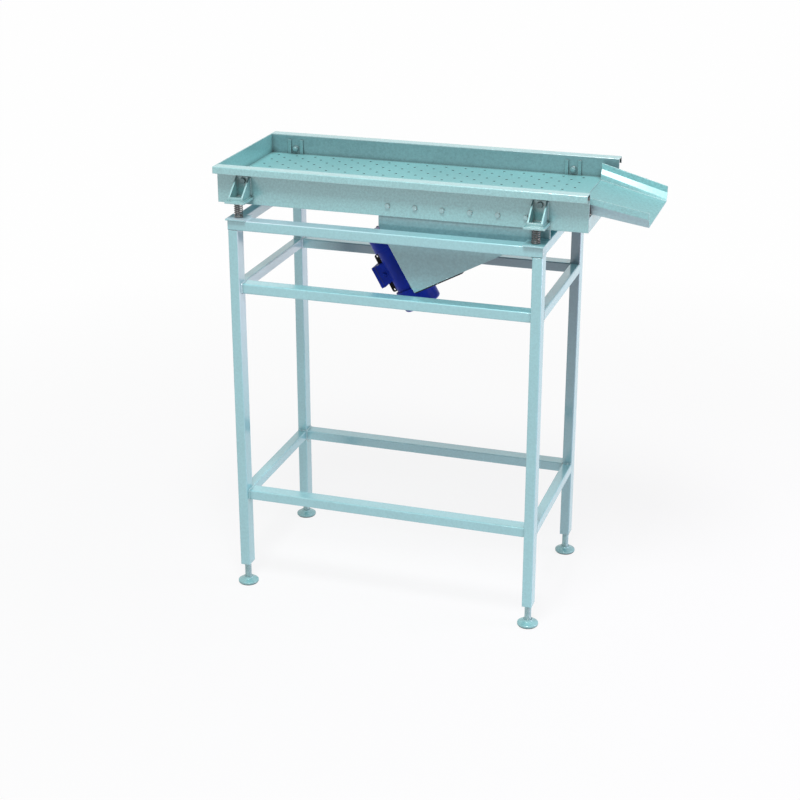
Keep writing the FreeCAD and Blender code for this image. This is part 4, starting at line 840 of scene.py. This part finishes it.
# Lid gasket: a black rubber frame, cut from sheet and pinched between the terminal box and its lid.
# Its edge stands out a little all round.
LID_SEAT = -202.5
GASKET_OUT, GASKET_IN, GASKET_HALF = 0.4, -3.5, 0.8
gasket_shape = bmesh.new()
gasket_rings = []
for reach, lift in ((GASKET_OUT, -GASKET_HALF), (GASKET_OUT, GASKET_HALF),
                    (GASKET_IN, GASKET_HALF), (GASKET_IN, -GASKET_HALF)):
    gasket_rings.append([gasket_shape.verts.new(on_motor(s, y, LID_SEAT + lift)) for s, y in (
        (BOX_TOP - reach, -BOX_HALF - reach), (BOX_FOOT + reach, -BOX_HALF - reach),
        (BOX_FOOT + reach, BOX_HALF + reach), (BOX_TOP - reach, BOX_HALF + reach))])
cover(gasket_shape, gasket_rings + gasket_rings[:1], capped=False)
finish_piece("lid_gasket", gasket_shape, [rubber], "tray")

# Cable gland: a hexagon nut on a threaded neck in the box's front wall, painted over with the motor and
# closed by a blind plug.
GLAND_ACROSS, GLAND_THICK, GLAND_H = 16, 4.2, -179.5
PLUG_PROFILE = ((0, 3.9), (7.2, 3.9), (7.2, 5.4), (6.4, 6.6), (5.2, 7.0), (4.6, 6.2), (0, 5.8))
NECK_PROFILE = ((0, -4), (5.9, -4), (5.9, 0.2), (0, 0.2))
gland_shape = bmesh.new()
gland_place = facing_place(on_motor(STATION, -BOX_HALF, GLAND_H), -Y, DOWN)
hex_prism(gland_shape, gland_place, GLAND_ACROSS, 0, GLAND_THICK, False, True)
turned(gland_shape, PLUG_PROFILE, gland_place, 40)
turned(gland_shape, NECK_PROFILE, gland_place, 32)
gland = finish_piece("plugged_gland", gland_shape, [motor_paint], "tray")
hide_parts("cable_gland")

# Lifting lugs: ribs with an eye at each end of the terminal box, cast in one with the barrel.
# They are painted black as shade.
# Painted shade: near-black enamel for the lugs.
lug_black = cast_enamel("lug_black", (0.004, 0.004, 0.006), (0.03, 0.03, 0.035), rough=0.5)
finish_nodes(lug_black, "lifting_lugs")

# Motor bolts: zinc plated hexagon bolts with washers, through the motor's feet and the slanted plate.
# Their nuts are behind the plate.
MOTOR_BOLT, MOTOR_GRIP = 12, 30
BOLT_APART_S, BOLT_APART_Y, FOOT_TOP_H = 45, 74, -18
motor_bolt_shape = bmesh.new()
for s in (STATION - BOLT_APART_S, STATION + BOLT_APART_S):
    for y in (-BOLT_APART_Y, BOLT_APART_Y):
        bolt_at = facing_place(on_motor(s, y, FOOT_TOP_H), -THROW, DOWN)
        bolt_and_nut(motor_bolt_shape, bolt_at, MOTOR_BOLT, MOTOR_GRIP)
motor_bolts = finish_piece("motor_bolt_set", motor_bolt_shape, [zinc], "tray")
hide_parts("motor_bolts")

# Inside the motor: a wound stator of stacked sheet, roller bearings, a ground shaft and machined iron
# weights. They are bare metal, pressed or clamped in place and hidden by the covers.


def machined(name, tint, bands, rough):
    """Bare metal with fine tool marks or sheet edges in bands along the motor's axis."""
    material, tree, shader = new_material(name)
    place = place_on(tree)
    along = add_node(tree, "ShaderNodeMapping", {"Vector": place, "Rotation": (0, SLANT, 0)}).outputs[0]
    marks = add_node(tree, "ShaderNodeTexWave", {"Vector": along, "Scale": bands, "Distortion": 0.4,
                                                 "Detail": 2.0}, bands_direction="Z").outputs["Fac"]
    stain = noise(tree, place, 40.0, 5.0)
    set_inputs(tree, shader, {
        "Base Color": toned(tree, tint, graded(tree, stain, 0.3, 0.7, 0.7, 1.2)),
        "Roughness": graded(tree, stain, 0.3, 0.7, rough - 0.1, rough + 0.1),
        "Normal": bumpy(tree, marks, 0.3, 0.0003), "Metallic": 1.0})
    return material


finish_nodes(machined("laminations", (0.20, 0.20, 0.21), 300.0, 0.5), "stator")
finish_nodes(machined("ground_steel", (0.60, 0.60, 0.60), 500.0, 0.25), "motor_bearings", "rotor_shaft")
finish_nodes(machined("weight_iron", (0.25, 0.25, 0.25), 160.0, 0.45), "eccentric_weights")
